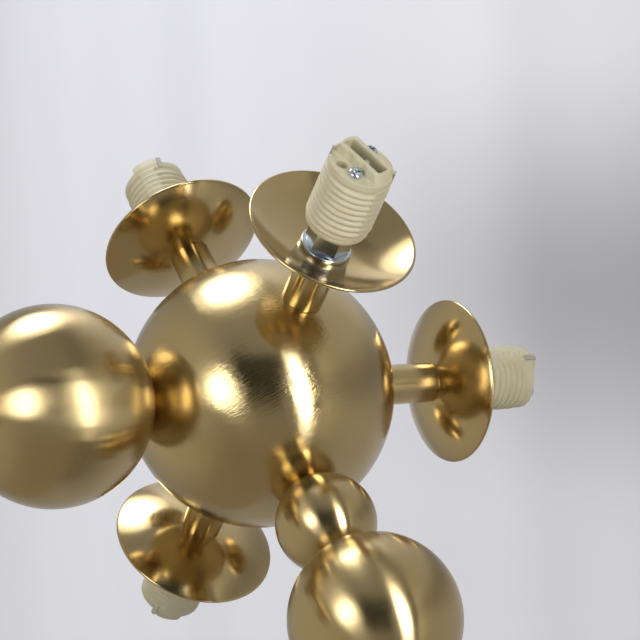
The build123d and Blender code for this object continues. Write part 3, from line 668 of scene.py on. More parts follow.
def fastener_tree():
    """Instances one object on the host's points, turned by its two axis attributes."""
    tree = bpy.data.node_groups.new("fasteners_on_points", "GeometryNodeTree")
    named_input(tree, "Geometry", "NodeSocketGeometry")
    named_input(tree, "Fastener", "NodeSocketObject")
    named_input(tree, "Plating", "NodeSocketMaterial")
    tree.interface.new_socket(name="Geometry", in_out="OUTPUT", socket_type="NodeSocketGeometry")
    given = add_node(tree, "NodeGroupInput")
    result = add_node(tree, "NodeGroupOutput")
    source = add_node(tree, "GeometryNodeObjectInfo", Object=given.outputs["Fastener"])
    axes = []
    for name in ("out_axis", "flat_axis"):
        stored = add_node(tree, "GeometryNodeInputNamedAttribute", {"data_type": "FLOAT_VECTOR"}, Name=name)
        axes.append(stored.outputs["Attribute"])
    turn = add_node(tree, "FunctionNodeAxesToRotation", {"primary_axis": "Z", "secondary_axis": "X"},
                    i0=axes[0], i1=axes[1])
    copies = add_node(tree, "GeometryNodeInstanceOnPoints", Points=given.outputs["Geometry"],
                      Instance=source.outputs["Geometry"], Rotation=turn.outputs["Rotation"])
    real = add_node(tree, "GeometryNodeRealizeInstances", Geometry=copies.outputs["Instances"])
    plated = add_node(tree, "GeometryNodeSetMaterial", Geometry=real.outputs["Geometry"],
                      Material=given.outputs["Plating"])
    tree.links.new(plated.outputs["Geometry"], result.inputs["Geometry"])
    return tree


FASTENERS = fastener_tree()


def run_tree(host, tree, values):
    """Run a Geometry Nodes tree on a host and return the plain mesh it makes."""
    modifier = host.modifiers.new(tree.name, "NODES")
    modifier.node_group = tree
    for item in tree.interface.items_tree:
        if item.in_out == "INPUT" and item.name in values:
            modifier[item.identifier] = values[item.name]
    mesh = finished(host)
    mesh.shade_smooth()
    mesh.set_sharp_from_angle(angle=SHARP_ANGLE)
    return mesh


def fasten(name, source_mesh, spots, material, node):
    """Put one fastener on every arm at each of the spots, given in the arm's frame."""
    places = []
    axes = {"out_axis": [], "flat_axis": []}
    for arm in ARMS:
        base = arm_frame(arm)
        for spot, turn in spots:
            here = base @ Matrix.Rotation(math.radians(turn), 4, "Z")
            places.append(base @ Vector(spot))
            axes["out_axis"] += list(here.col[2][:3])
            axes["flat_axis"] += list(here.col[0][:3])
    points = bpy.data.meshes.new(name + "_points")
    points.from_pydata(places, [], [])
    for axis, values in axes.items():
        points.attributes.new(axis, "FLOAT_VECTOR", "POINT").data.foreach_set("vector", values)
    source = new_piece(name + "_source", source_mesh)
    host = new_piece(name + "_host", points)
    mesh = run_tree(host, FASTENERS, {"Fastener": source, "Plating": material})
    bpy.data.objects.remove(source)
    print(name, len(places), "copies,", len(mesh.polygons), "faces")
    return carry(name, mesh, material, node)


print("tree inputs", [item.name for item in FASTENERS.interface.items_tree if item.in_out == "INPUT"])

# %% Washers
WASHER_EDGE = 0.35 * MM
washer_section = [(BORE_R, 0), (WASHER_R, 0), (WASHER_R, WASHER_THICK), (BORE_R, WASHER_THICK)]
washer = turned("washer", eased(washer_section, WASHER_EDGE))
fasten("washers_plated", washer, [((0, 0, WASHER_BACK), 0.0)], ZINC, "dish_washers")

# %% [markdown]
# A hexagon nut follows a rule too: at every angle its radius is the hexagon's, cut down near
# both faces by the 30 degree chamfer. Taking the lesser of the two gives the curved edges
# that a real nut has where the chamfer meets the flats.

# %% Nuts
NUT_STEPS = 120
NUT_TURN = 0.0              # a flat faces along the lamp slot
NUT_CHAMFER = math.radians(30)
NUT_FACE_R = NUT_FLATS / 2 * 0.97   # the round face that the chamfer leaves
CHAMFER_STEPS = 6


def nut_mesh():
    """Hexagon nut with chamfered corners, upright on z = 0."""
    corner_r = NUT_FLATS / math.sqrt(3)
    drop = (corner_r - NUT_FACE_R) * math.tan(NUT_CHAMFER)
    heights = [drop * step / CHAMFER_STEPS for step in range(CHAMFER_STEPS + 1)]
    heights += [NUT_HEIGHT - h for h in reversed(heights)]
    shape = bmesh.new()
    levels = [("bore", 0.0)] + [("side", h) for h in heights] + [("bore", NUT_HEIGHT)]
    rings = []
    for kind, height in levels:
        ring = []
        for step in range(NUT_STEPS):
            angle = 2 * math.pi * step / NUT_STEPS
            from_flat = (angle + math.pi / 6) % (math.pi / 3) - math.pi / 6
            hexagon = NUT_FLATS / 2 / math.cos(from_flat)
            near = min(height, NUT_HEIGHT - height)
            cone = NUT_FACE_R + near / math.tan(NUT_CHAMFER)
            radius = BORE_R if kind == "bore" else min(hexagon, cone)
            spot = (radius * math.cos(angle), radius * math.sin(angle), height)
            ring.append(shape.verts.new(spot))
        rings.append(ring)
    for row in range(len(rings)):
        lower = rings[row]
        upper = rings[(row + 1) % len(rings)]
        for step in range(NUT_STEPS):
            following = (step + 1) % NUT_STEPS
            shape.faces.new((lower[step], lower[following], upper[following], upper[step]))
    bmesh.ops.recalc_face_normals(shape, faces=shape.faces)
    return made(shape, "nut")


fasten("nuts_plated", nut_mesh(), [((0, 0, NUT_BACK), NUT_TURN)], ZINC, "dish_nuts")

# %% [markdown]
# ## The ceramic lampholder
#
# The holder is pressed in a die, so every edge is soft and the outside thread is a round rib
# that winds up the barrel and dies out at both ends. A rib that follows a helix is a job for
# Geometry Nodes: a spiral curve, whose radius tapers at its ends, swept with a round profile.
# The barrel, the rib and the smooth strips are then joined, the slot, ledges and holes are
# cut, and a fine voxel remesh with a little smoothing melts them into one pressed body.

# %% Helical rib
HOLDER_LENGTH = 32.0 * MM
CREST_R = 11.75 * MM
ROOT_R = 10.95 * MM
BAND_R = 11.4 * MM
FOOT_R = 9.8 * MM
FOOT_HEIGHT = 1.6 * MM
THREAD_START = 3.4 * MM
THREAD_PITCH = 2.4 * MM
THREAD_TURNS = 9
THREAD_TOP = THREAD_START + THREAD_TURNS * THREAD_PITCH
BAND_Z = THREAD_TOP + 0.4 * MM      # where the plain band above the thread starts
BAR_HEIGHT = 4.0 * MM
LEDGE_Z = HOLDER_LENGTH - BAR_HEIGHT
RIB_R = 0.95 * MM
RIB_TAPER = 0.04                    # share of its length over which the rib dies out


def rib_tree():
    """A tapered rib on a helix: a spiral curve swept with a round profile."""
    tree = bpy.data.node_groups.new("helical_rib", "GeometryNodeTree")
    named_input(tree, "Geometry", "NodeSocketGeometry")
    for name in ("Helix Radius", "Rib Radius", "Pitch", "Turns", "Taper"):
        named_input(tree, name, "NodeSocketFloat")
    named_input(tree, "Ceramic", "NodeSocketMaterial")
    tree.interface.new_socket(name="Geometry", in_out="OUTPUT", socket_type="NodeSocketGeometry")
    given = add_node(tree, "NodeGroupInput")
    result = add_node(tree, "NodeGroupOutput")
    rise = calc(tree, "MULTIPLY", given.outputs["Pitch"], given.outputs["Turns"])
    helix = add_node(tree, "GeometryNodeCurveSpiral", Resolution=72, Rotations=given.outputs["Turns"],
                     Start_Radius=given.outputs["Helix Radius"], End_Radius=given.outputs["Helix Radius"],
                     Height=rise)
    along = add_node(tree, "GeometryNodeSplineParameter").outputs["Factor"]
    nearest = calc(tree, "MINIMUM", along, calc(tree, "SUBTRACT", 1.0, along))
    swell = remap(tree, nearest, (0.0, given.outputs["Taper"]), (0.15, 1.0))
    size = calc(tree, "MULTIPLY", swell, given.outputs["Rib Radius"])
    profile = add_node(tree, "GeometryNodeCurvePrimitiveCircle", Resolution=14, Radius=1.0)
    swept = add_node(tree, "GeometryNodeCurveToMesh", Curve=helix.outputs["Curve"],
                     Profile_Curve=profile.outputs["Curve"], Scale=size, Fill_Caps=True)
    pressed = add_node(tree, "GeometryNodeSetMaterial", Geometry=swept.outputs["Mesh"],
                       Material=given.outputs["Ceramic"])
    real = add_node(tree, "GeometryNodeRealizeInstances", Geometry=pressed.outputs["Geometry"])
    tree.links.new(real.outputs["Geometry"], result.inputs["Geometry"])
    return tree


RIB = rib_tree()
rib_host = new_piece("rib_host", bpy.data.meshes.new("rib_host"))
rib_values = {"Helix Radius": CREST_R - RIB_R, "Rib Radius": RIB_R, "Pitch": THREAD_PITCH,
              "Turns": float(THREAD_TURNS), "Taper": RIB_TAPER, "Ceramic": STEATITE}
rib_mesh = run_tree(rib_host, RIB, rib_values)
rib_mesh.transform(Matrix.Translation((0, 0, THREAD_START)))
print("rib faces", len(rib_mesh.polygons))

# %% Pressed body
STRIP_R = 11.6 * MM
STRIP_FLAT = 15.0           # degrees to each side at full radius
STRIP_BLEND = 21.0          # degrees to each side where the strip meets the barrel
BAR_WIDTH = 8.8 * MM
BAR_TOP_R = 9.5 * MM
SLOT = Vector((16.8, 5.0, 12.0)) * MM
SLOT_RIB = Vector((1.6, 0.8, 12.0)) * MM
RIB_DROP = 3.5 * MM          # the slot's mid ribs start this far below its mouth
PIN_SPACING = 9.0 * MM
LEAD_CHANNEL_R = 1.2 * MM
SCREW_SPOT = Vector((3.0, -6.9)) * MM
POCKET_SPOT = Vector((-3.2, -6.9)) * MM
POCKET_R = 2.0 * MM
POCKET_DEPTH = 3.0 * MM
RELIEF_R = 3.0 * MM
SCREW_HOLE_R = 1.65 * MM
BRIDGE_POCKET = Vector((20.2, 13.6, 2.6)) * MM   # long, wide and deep, with round ends
WIRE_CAVITY = Vector((12.0, 5.0, 5.6)) * MM
SPRING_TURN = 32.0
SPRING_GROOVE = Vector((1.1, 2.3, 8.0)) * MM
VOXEL = 0.26 * MM
OVERCUT = 0.5 * MM


def pushed(points, push):
    """A bmesh of the flat face through the points, pushed out along a vector."""
    shape = bmesh.new()
    face = shape.faces.new([shape.verts.new(point) for point in points])
    grown = bmesh.ops.extrude_face_region(shape, geom=[face])
    moved = [item for item in grown["geom"] if isinstance(item, bmesh.types.BMVert)]
    bmesh.ops.translate(shape, verts=moved, vec=push)
    bmesh.ops.recalc_face_normals(shape, faces=shape.faces)
    return shape


def prism(outline, start, end, turn=0.0):
    """A flat outline raised from start to end and turned; only used to join or cut."""
    mesh = made(pushed([(x, y, start) for x, y in outline], (0, 0, end - start)), "prism")
    mesh.transform(Matrix.Rotation(math.radians(turn), 4, "Z"))
    return mesh


def block(size, base, turn=0.0):
    """A block of the given size that stands on base, turned about the vertical."""
    half_x, half_y = size[0] / 2, size[1] / 2
    corners = [(-half_x, -half_y), (half_x, -half_y), (half_x, half_y), (-half_x, half_y)]
    outline = [(base[0] + x, base[1] + y) for x, y in corners]
    return prism(outline, base[2], base[2] + size[2], turn)


def stadium(length, width, start, end, turn):
    """A block whose two ends are round."""
    offset = (length - width) / 2
    right = arc((offset, 0), width / 2, -90, 90, 16)
    left = arc((-offset, 0), width / 2, 90, 270, 16)
    return prism(right + left, start, end, turn)


def smooth_strip(turn):
    """A smooth strip that interrupts the thread, blended into the barrel at its sides."""
    top = arc((0, 0), STRIP_R, -STRIP_FLAT, STRIP_FLAT, 12)
    foot = arc((0, 0), ROOT_R - OVERCUT, STRIP_BLEND, -STRIP_BLEND, 1)
    return prism(top + foot, THREAD_START, THREAD_TOP + OVERCUT, turn)


def peg(radius, start, end, spot=(0, 0)):
    """A round cutter from start to end."""
    outline = [(0, start), (radius, start), (radius, end), (0, end)]
    return turned("peg", outline, Matrix.Translation((spot[0], spot[1], 0)), CUTTER_SIDES, closed=False)


def joined(meshes):
    """One mesh that holds all the given ones."""
    shape = bmesh.new()
    for mesh in meshes:
        shape.from_mesh(mesh)
    return made(shape, "joined")


def slot_cutters():
    """The slot as three stretches: its two ends and the waist between the mid ribs."""
    base = LEDGE_Z + BAR_HEIGHT - SLOT.z
    waist = SLOT.y - 2 * SLOT_RIB.y
    end_length = (SLOT.x - SLOT_RIB.x) / 2
    end_x = (SLOT.x + SLOT_RIB.x) / 4
    tall = SLOT.z + OVERCUT
    cutters = [block((SLOT.x, waist, tall), (0, 0, base))]
    cutters.append(block((SLOT.x, SLOT.y, RIB_DROP + OVERCUT), (0, 0, HOLDER_LENGTH - RIB_DROP)))
    for side in (-1, 1):
        cutters.append(block((end_length, SLOT.y, tall), (side * end_x, 0, base)))
    return cutters


def body_cutters():
    """Everything that the die and its pins leave open."""
    cutters = slot_cutters()
    ledge_depth = CREST_R * 2
    ledge = (ledge_depth * 2, ledge_depth, BAR_HEIGHT + OVERCUT)
    for side in (-1, 1):
        cutters.append(block(ledge, (0, side * (BAR_WIDTH + ledge_depth) / 2, LEDGE_Z)))
        spot = SCREW_SPOT * side
        cutters.append(peg(SCREW_HOLE_R, -OVERCUT, LEDGE_Z + OVERCUT, spot))
        cutters.append(peg(RELIEF_R, LEDGE_Z, HOLDER_LENGTH + OVERCUT, spot))
        pin = (side * PIN_SPACING / 2, 0)
        cutters.append(peg(LEAD_CHANNEL_R, 0, HOLDER_LENGTH - SLOT.z + OVERCUT, pin))
    cutters.append(peg(RELIEF_R, LEDGE_Z, HOLDER_LENGTH + OVERCUT, POCKET_SPOT))
    cutters.append(peg(POCKET_R, LEDGE_Z - POCKET_DEPTH, LEDGE_Z + OVERCUT, POCKET_SPOT))
    for turn in (SPRING_TURN, SPRING_TURN + 180):
        cutters.append(block(SPRING_GROOVE, (BAND_R, 0, BAND_Z), turn))
    bridge_turn = math.degrees(math.atan2(SCREW_SPOT.y, SCREW_SPOT.x))
    cutters.append(stadium(BRIDGE_POCKET.x, BRIDGE_POCKET.y, -OVERCUT, BRIDGE_POCKET.z, bridge_turn))
    cavity = (WIRE_CAVITY.x, WIRE_CAVITY.y, WIRE_CAVITY.z + OVERCUT)
    cutters.append(block(cavity, (0, 0, BRIDGE_POCKET.z - OVERCUT)))
    return cutters


def pressed_body():
    """One holder, upright with its foot on z = 0."""
    barrel_outline = [(0, 0), (FOOT_R, 0), (ROOT_R, FOOT_HEIGHT), (ROOT_R, THREAD_TOP), (BAND_R, BAND_Z),
                      (BAND_R, LEDGE_Z), (BAR_TOP_R, HOLDER_LENGTH), (0, HOLDER_LENGTH)]
    barrel = turned("barrel", barrel_outline, closed=False)
    strips = [smooth_strip(turn) for turn in (0.0, 180.0)]
    solid = cut(joined([barrel] + strips), body_cutters(), crossing=True)
    pressed = new_piece("holder", joined([solid, rib_mesh]))
    melt = pressed.modifiers.new("melt", "REMESH")
    melt.mode = "VOXEL"
    melt.voxel_size = VOXEL
    soften = pressed.modifiers.new("soften", "SMOOTH")
    soften.factor = 0.5
    soften.iterations = 2
    mesh = finished(pressed)
    mesh.shade_smooth()
    return mesh


holder = pressed_body()
print("holder faces", len(holder.polygons))

# %% Stamp the holders
for arm in ARMS:
    stamped = holder.copy()
    stamped.transform(arm_frame(arm) @ Matrix.Translation((0, 0, HOLDER_FOOT)))
    carry(f"lampholder_ceramic_{arm}", stamped, STEATITE, f"socket_ceramic_{arm}")
print("holders", len(ARMS))

# %% [markdown]
# ## Screws and spring tongues of the lampholder
#
# Two cross-head screws draw each holder down on its bridge, and two spring tongues at the rim
# lock the shade ring. They come off the same fastener tree. The recess in a screw head is cut
# with a Boolean, since a bump alone would look printed on from close by.

# %% Cross-head screws
HEAD_R = 2.5 * MM
HEAD_HEIGHT = 2.0 * MM
HEAD_ROUND = 1.0 * MM
SHANK_R = 1.5 * MM
CROSS = Vector((2.8, 0.9, 1.1)) * MM
CROSS_TURNS = (20, 110)             # degrees
SCREW_TURN = 35.0                   # degrees, one screw each way
FOOT_GAP = 0.3 * MM                 # the shank stops this far above the ceramic's foot


def screw_mesh():
    """Pan-head screw with a cross recess, its head standing on z = 0."""
    reach = LEDGE_Z - FOOT_GAP
    round_centre = (HEAD_R - HEAD_ROUND, HEAD_HEIGHT - HEAD_ROUND)
    crown = arc(round_centre, HEAD_ROUND, 0, 90, 8)
    outline = [(0, -reach), (SHANK_R, -reach), (SHANK_R, 0), (HEAD_R, 0)] + crown + [(0, HEAD_HEIGHT)]
    body = turned("screw", outline, around=48, closed=False)
    base = HEAD_HEIGHT - CROSS.z
    recess = [block((CROSS.x, CROSS.y, CROSS.z * 2), (0, 0, base), turn) for turn in CROSS_TURNS]
    return cut(body, recess, crossing=True)


screw_spots = []
for side in (-1, 1):
    screw_at = (SCREW_SPOT.x * side, SCREW_SPOT.y * side, HOLDER_FOOT + LEDGE_Z)
    screw_spots.append((screw_at, SCREW_TURN * side))
fasten("holder_screws_plated", screw_mesh(), screw_spots, ZINC, "socket_screws")

# %% Spring tongues
TONGUE_WIDTH = 2.0 * MM
TONGUE_THICK = 0.5 * MM
TONGUE_TOP = LEDGE_Z + 2.6 * MM
TONGUE_EDGE = 0.08 * MM


def tongue_mesh():
    """A sheared spring tongue: round at its tip, with its edges broken."""
    height = TONGUE_TOP - BAND_Z
    half = TONGUE_WIDTH / 2
    tip = arc((0, height - half), half, 0, 180, 12)
    outline = [(half, 0)] + tip + [(-half, 0)]
    shape = pushed([(-TONGUE_THICK / 2, y, z) for y, z in outline], (TONGUE_THICK, 0, 0))
    bmesh.ops.bevel(shape, geom=shape.edges[:], offset=TONGUE_EDGE, segments=2, affect="EDGES")
    return made(shape, "tongue")


tongue_r = BAND_R - TONGUE_THICK / 2
tongue_spots = []
for turn in (SPRING_TURN, SPRING_TURN + 180):
    angle = math.radians(turn)
    spot = (tongue_r * math.cos(angle), tongue_r * math.sin(angle), HOLDER_FOOT + BAND_Z)
    tongue_spots.append((spot, turn))
fasten("spring_tongues_plated", tongue_mesh(), tongue_spots, NICKEL, "socket_springs")

# %% [markdown]
# ## Stem, swivel and canopy
#
# The photo stops below the stem, so these follow what such a pendant has: a drawn stem tube
# under a round nut, a ball swivel in a two-part cup, and a shallow spun canopy. All are turned
# or spun, so each is an outline on the lathe helper, with every outer edge eased.

# %% Stem
STEM_AXIS = Vector((PIVOT.x, PIVOT.y, 0))
STEM = Matrix.Translation(STEM_AXIS)
ROD_HOLE_R = 5.1 * MM
STEM_NUT_R = 9.0 * MM
STEM_NUT_ROUND = 1.2 * MM
ROUND_STEPS = 8


def collar_outline(radius, bottom, top, bore, low_round, high_round):
    """Outline of a round nut with its own round on each outer edge."""
    lower = arc((radius - low_round, bottom + low_round), low_round, -90, 0, ROUND_STEPS)
    upper = arc((radius - high_round, top - high_round), high_round, 0, 90, ROUND_STEPS)
    return [(bore, bottom)] + lower + upper + [(bore, top)]


stem_low, stem_high = low("stem_tube").z, high("stem_tube").z
lathe_piece("stem_tube_drawn", "stem_tube", tube_outline(stem_low, stem_high, TUBE_R, TUBE_WALL), STEM,
            128, BRUSHED_BRASS)
nut_low, nut_high = low("stem_nut").z, high("stem_nut").z
stem_nut = collar_outline(STEM_NUT_R, nut_low, nut_high, ROD_HOLE_R, EDGE, STEM_NUT_ROUND)
lathe_piece("stem_nut_turned", "stem_nut", stem_nut, STEM, 128, BRUSHED_BRASS)
print("stem from", round(stem_low, 3), "to", round(stem_high, 3))

# %% Swivel
SWIVEL_R = 10.0 * MM
CAVITY_R = 10.3 * MM
CUP_R = 13.0 * MM
SPLIT = 2.5 * MM
CUP_ROUND = 1.2 * MM
MOUTH_R = 8.5 * MM
FLARE_R = 10.75 * MM
CABLE_BORE_R = 3.5 * MM
TAP_DEPTH = 7.5 * MM
pivot_frame = Matrix.Translation(PIVOT)


def swivel_ball_outline():
    """The swivel's ball, tapped below and bored through."""
    foot = -math.degrees(math.acos(ROD_HOLE_R / SWIVEL_R))
    crown = math.degrees(math.acos(CABLE_BORE_R / SWIVEL_R))
    floor_z = -SWIVEL_R + TAP_DEPTH
    tap = [(CABLE_BORE_R, floor_z), (ROD_HOLE_R, floor_z)]
    return arc((0, 0), SWIVEL_R, foot, crown, 48) + tap


def swivel_cup_outline():
    """Upper half of the swivel: a cup with a spherical seat."""
    top = high("swivel_cup").z - PIVOT.z
    crown = math.degrees(math.acos(ROD_HOLE_R / CAVITY_R))
    shoulder = arc((CUP_R - CUP_ROUND, top - CUP_ROUND), CUP_ROUND, 0, 90, ROUND_STEPS)
    seat = arc((0, 0), CAVITY_R, crown, 0, 24)
    foot = [(CAVITY_R, -SPLIT), (CUP_R - EDGE, -SPLIT), (CUP_R, -SPLIT + EDGE)]
    return foot + shoulder + [(ROD_HOLE_R, top)] + seat


def swivel_ring_outline():
    """Lower half of the swivel: a ring with a flared mouth."""
    bottom = low("swivel_ring").z - PIVOT.z
    start = -math.degrees(math.asin(SPLIT / CAVITY_R))
    end = -math.degrees(math.acos(MOUTH_R / CAVITY_R))
    seat = arc((0, 0), CAVITY_R, start, end, 12)
    foot = arc((CUP_R - CUP_ROUND, bottom + CUP_ROUND), CUP_ROUND, -90, 0, ROUND_STEPS)
    return seat + [(FLARE_R, bottom)] + foot + [(CUP_R, -SPLIT - EDGE), (CUP_R - EDGE, -SPLIT)]


lathe_piece("swivel_ball_turned", "swivel_ball", swivel_ball_outline(), pivot_frame, 128, POLISHED_BRASS)
for half, outline in (("swivel_cup", swivel_cup_outline()), ("swivel_ring", swivel_ring_outline())):
    lathe_piece(f"{half}_turned", half, outline, pivot_frame, 128, BRUSHED_BRASS, "swivel")
print("swivel turned")

# %% Canopy
CANOPY_R = 60.0 * MM
CANOPY_SKIRT = 8.0 * MM
CANOPY_THICK = 1.2 * MM
CANOPY_FLAT_R = 13.0 * MM
CANOPY_BEND = 2.5 * MM
RING_NUT_R = 11.0 * MM
RING_NUT_ROUND = 0.8 * MM
UPRIGHT = Matrix.Identity(4)
canopy_low = low("canopy").z


def canopy_outline():
    """Outline of the spun canopy: flat, shallow dome, soft bend and straight skirt."""
    depth = -canopy_low - CANOPY_SKIRT
    centre = ((CANOPY_R**2 - CANOPY_FLAT_R**2) / depth + depth) / 2
    outer = math.hypot(centre, CANOPY_FLAT_R)
    axis_z = canopy_low + centre
    flat_angle = math.degrees(math.asin(CANOPY_FLAT_R / outer)) - 90

    def shell(radius, side_r, bend):
        """One skin: the dome's arc, then a bend that is tangent to the dome and the skirt."""
        bend_r = side_r - bend
        bend_angle = math.degrees(math.asin(bend_r / (radius - bend))) - 90
        bend_z = axis_z + (radius - bend) * math.sin(math.radians(bend_angle))
        dome = arc((0, axis_z), radius, flat_angle, bend_angle, SKIN_STEPS)
        return dome + arc((bend_r, bend_z), bend, bend_angle, 0, BEAD_STEPS)[1:] + [(side_r, 0)]

    outside = shell(outer, CANOPY_R, CANOPY_BEND)
    inside = shell(outer - CANOPY_THICK, CANOPY_R - CANOPY_THICK, CANOPY_BEND - CANOPY_THICK)
    return [(BORE_R, canopy_low)] + outside + inside[::-1] + [(BORE_R, canopy_low + CANOPY_THICK)]


lathe_piece("canopy_spun", "canopy", canopy_outline(), UPRIGHT, 200, BRUSHED_BRASS, "ceiling")
ring_low, ring_high = low("canopy_ring_nut").z, high("canopy_ring_nut").z
ring_nut = collar_outline(RING_NUT_R, ring_low, ring_high, ROD_HOLE_R, RING_NUT_ROUND, EDGE)
lathe_piece("canopy_ring_nut_turned", "canopy_ring_nut", ring_nut, UPRIGHT, 128, BRUSHED_BRASS, "ceiling")
print("canopy", round(-canopy_low / MM, 1), "mm deep")

# %% [markdown]
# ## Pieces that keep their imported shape
#
# The strap, nipple, locknuts, terminal block, rods, bridges, contacts and leads already have
# their real shape, so they only get a finish.

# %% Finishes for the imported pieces
FINISHES = {
    "ceiling_plate": STRAP_STEEL,
    "ceiling_nipple": ZINC,
    "ceiling_locknuts": ZINC,
    "terminal_block": NYLON,
    "terminal_screws": NICKEL,
    "canopy_leads": SILICONE,
    "earth_screw": ZINC,
    "stem_rod": ZINC,
    "stem_cable": SILICONE,
    "side_rod": ZINC,
    "hub_core": CAST_BRASS,
    "hub_splice": NYLON,
    "end_bush": TURNED_BRASS,
}
for arm in ARMS:
    FINISHES[f"arm_rod_{arm}"] = ZINC
    FINISHES[f"socket_bridge_{arm}"] = STRAP_STEEL
    FINISHES[f"socket_contacts_{arm}"] = NICKEL
    FINISHES[f"socket_leads_{arm}"] = SILICONE
for node, finish in FINISHES.items():
    for material_slot in bpy.data.objects[node].material_slots:
        material_slot.material = finish
print(len(FINISHES), "packed pieces finished")

# %% [markdown]
# ## Floor, light and camera
#
# The photograph was taken against a pale sheet in soft light. The floor is one large sheet
# whose colour holds painted shade and painted light: darker on the camera's side, brighter and
# cooler far away, with soft painted shadow bands and one painted shadow patch. It also glows for
# camera and mirror rays, less on the camera's side; the camera sees that glow in full and the brass mirrors
# part of it.

# %% Floor
FLOOR_Z = HUB.z - 0.23
FLOOR_HALF = 4.0
FLOOR_LIFT = 0.47           # glow of the sheet for camera and mirror rays
MIRRORED_SHARE = 0.4        # how much of that glow the brass mirrors
NEAR_GLOW_SHADE = 0.5             # how much of that glow is left on the camera's side, as painted shade
PHOTO_UP = Vector((-0.7047, 0.7082, -0.0441))
PHOTO_RIGHT = Vector((0.3782, 0.3223, -0.8678))
PHOTO_BACK = Vector((0.6003, 0.6282, 0.4950))
SHEET_FAR = (-0.69, -0.72, 0.0)     # along the floor, away from the camera
SHEET_UP = (-0.70, 0.71, 0.0)       # along the floor, up in the photo
NEAR_SHADE_SPAN = (-0.35, 0.15)           # metres: where the painted shade on the camera's side turns into the painted light farther off
FAR_LIGHT_SPAN = (0.05, 0.60)             # and where that painted light brightens
SHADOW_BAND_MIDDLE = 0.03                  # the painted shadow bands and the painted shadow patch lie about this line
SHADOW_BAND_SIDES = (0.2, 0.6)             # to each side of it, the painted shadow bands fade
EDGE_SHADE_SIDES = (0.25, 0.7)            # and the sheet darkens a little with painted shade
EDGE_SHADE_SHARE = 0.85
# The painted shadow patch: its half width, its span along the sheet and its depth.
SHADOW_PATCH_HALF = 0.11
SHADOW_PATCH_ALONG = (0.38, 0.10)
SHADOW_PATCH_DEPTH = 0.42


def paper():
    """Matt white paper with painted shade towards the camera, painted shadow bands, a painted shadow patch
    and a fine tooth.
    """
    material, tree, shader = new_material("paper_backdrop_with_painted_shade")
    place = own_place(tree)
    far = dot(tree, place, SHEET_FAR)
    away = calc(tree, "ABSOLUTE", calc(tree, "SUBTRACT", dot(tree, place, SHEET_UP), SHADOW_BAND_MIDDLE))
    # Painted shade on the camera's side and painted light farther off, in the sheet's colour.
    near_shade_fade = remap(tree, far, NEAR_SHADE_SPAN, (0.0, 1.0))
    painted_far_light = mix(tree, remap(tree, far, FAR_LIGHT_SPAN, (0.0, 1.0)), "#CCCDD4", "#DFE1EA")
    tone = mix(tree, near_shade_fade, "#B2B0AC", painted_far_light)
    # Soft painted shadow bands across the sheet's colour.
    shadow_bands = add_node(tree, "ShaderNodeTexNoise", {"noise_dimensions": "1D"}, W=far, Scale=7.0, Detail=1.0)
    trough = remap(tree, away, SHADOW_BAND_SIDES, (0.9, 0.97), smooth=False)
    crest = remap(tree, away, SHADOW_BAND_SIDES, (1.0, 0.97), smooth=False)
    painted_shadow_streak = remap(tree, shadow_bands.outputs["Fac"], (0.3, 0.7), (trough, crest), smooth=False)
    # One painted shadow patch, darkening the sheet's colour.
    across_shadow_patch = remap(tree, away, (SHADOW_PATCH_HALF, 0.0), (0.0, SHADOW_PATCH_DEPTH))
    painted_shadow_patch = calc(tree, "MULTIPLY", across_shadow_patch, remap(tree, far, SHADOW_PATCH_ALONG, (0.0, 1.0)))
    # Painted shade towards the sheet's sides.
    edge = remap(tree, away, EDGE_SHADE_SIDES, (1.0, EDGE_SHADE_SHARE))
    level = calc(tree, "MULTIPLY", calc(tree, "SUBTRACT", painted_shadow_streak, painted_shadow_patch), edge)
    sheet = add_node(tree, "ShaderNodeVectorMath", {"operation": "SCALE"}, i0=tone, Scale=level)
    rays = add_node(tree, "ShaderNodeLightPath").outputs
    mirrored = calc(tree, "MULTIPLY", rays["Is Glossy Ray"], MIRRORED_SHARE)
    seen = calc(tree, "MAXIMUM", rays["Is Camera Ray"], mirrored)
    seen = calc(tree, "MAXIMUM", seen, rays["Is Transmission Ray"])
    # The glow is weaker on the camera's side: painted shade.
    glow = remap(tree, near_shade_fade, (0.0, 1.0), (NEAR_GLOW_SHADE, 1.0), smooth=False)
    lift = calc(tree, "MULTIPLY", calc(tree, "MULTIPLY", seen, glow), FLOOR_LIFT)
    fill(tree, shader, Base_Color=sheet.outputs["Vector"], Emission_Color=sheet.outputs["Vector"],
         Emission_Strength=lift, Normal=bump(tree, noise(tree, place, 900.0, 3.0), 0.05, 0.3),
         Roughness=0.9, Specular_IOR_Level=0.2)
    return material


floor_shape = bmesh.new()
bmesh.ops.create_grid(floor_shape, x_segments=16, y_segments=16, size=FLOOR_HALF)
floor_mesh = made(floor_shape, "floor")
floor_mesh.transform(Matrix.Translation((0, 0, FLOOR_Z)))
floor_mesh.materials.append(paper())
floor = new_piece("floor", floor_mesh)
print("floor at", round(FLOOR_Z, 3))

# %% [markdown]
# The world is a plain grey room: brighter to the photo's left, as beside a window, and warmer
# and a little darker below. A soft dark square on the camera's side stands for the camera and
# whoever holds it, and shows as the dark patch in the hub.

# %% World
WORLD_GREY = (0.30, 0.30, 0.295, 1)
WORLD_BRIGHT = (0.47, 0.45, 0.41, 1)
WORLD_LOW = (0.29, 0.25, 0.20, 1)
CAMERA_SHADE = (0.04, 0.04, 0.04, 1)
LOW_SPAN = (-0.1, -0.8)             # along PHOTO_UP
WINDOW_SPAN = (-0.35, -0.85)        # along PHOTO_RIGHT
CAMERA_UP = (0.21, 0.34)            # middle and half width of the dark square
CAMERA_SIDE = (0.0, 0.33)
CAMERA_SOFT = 0.04


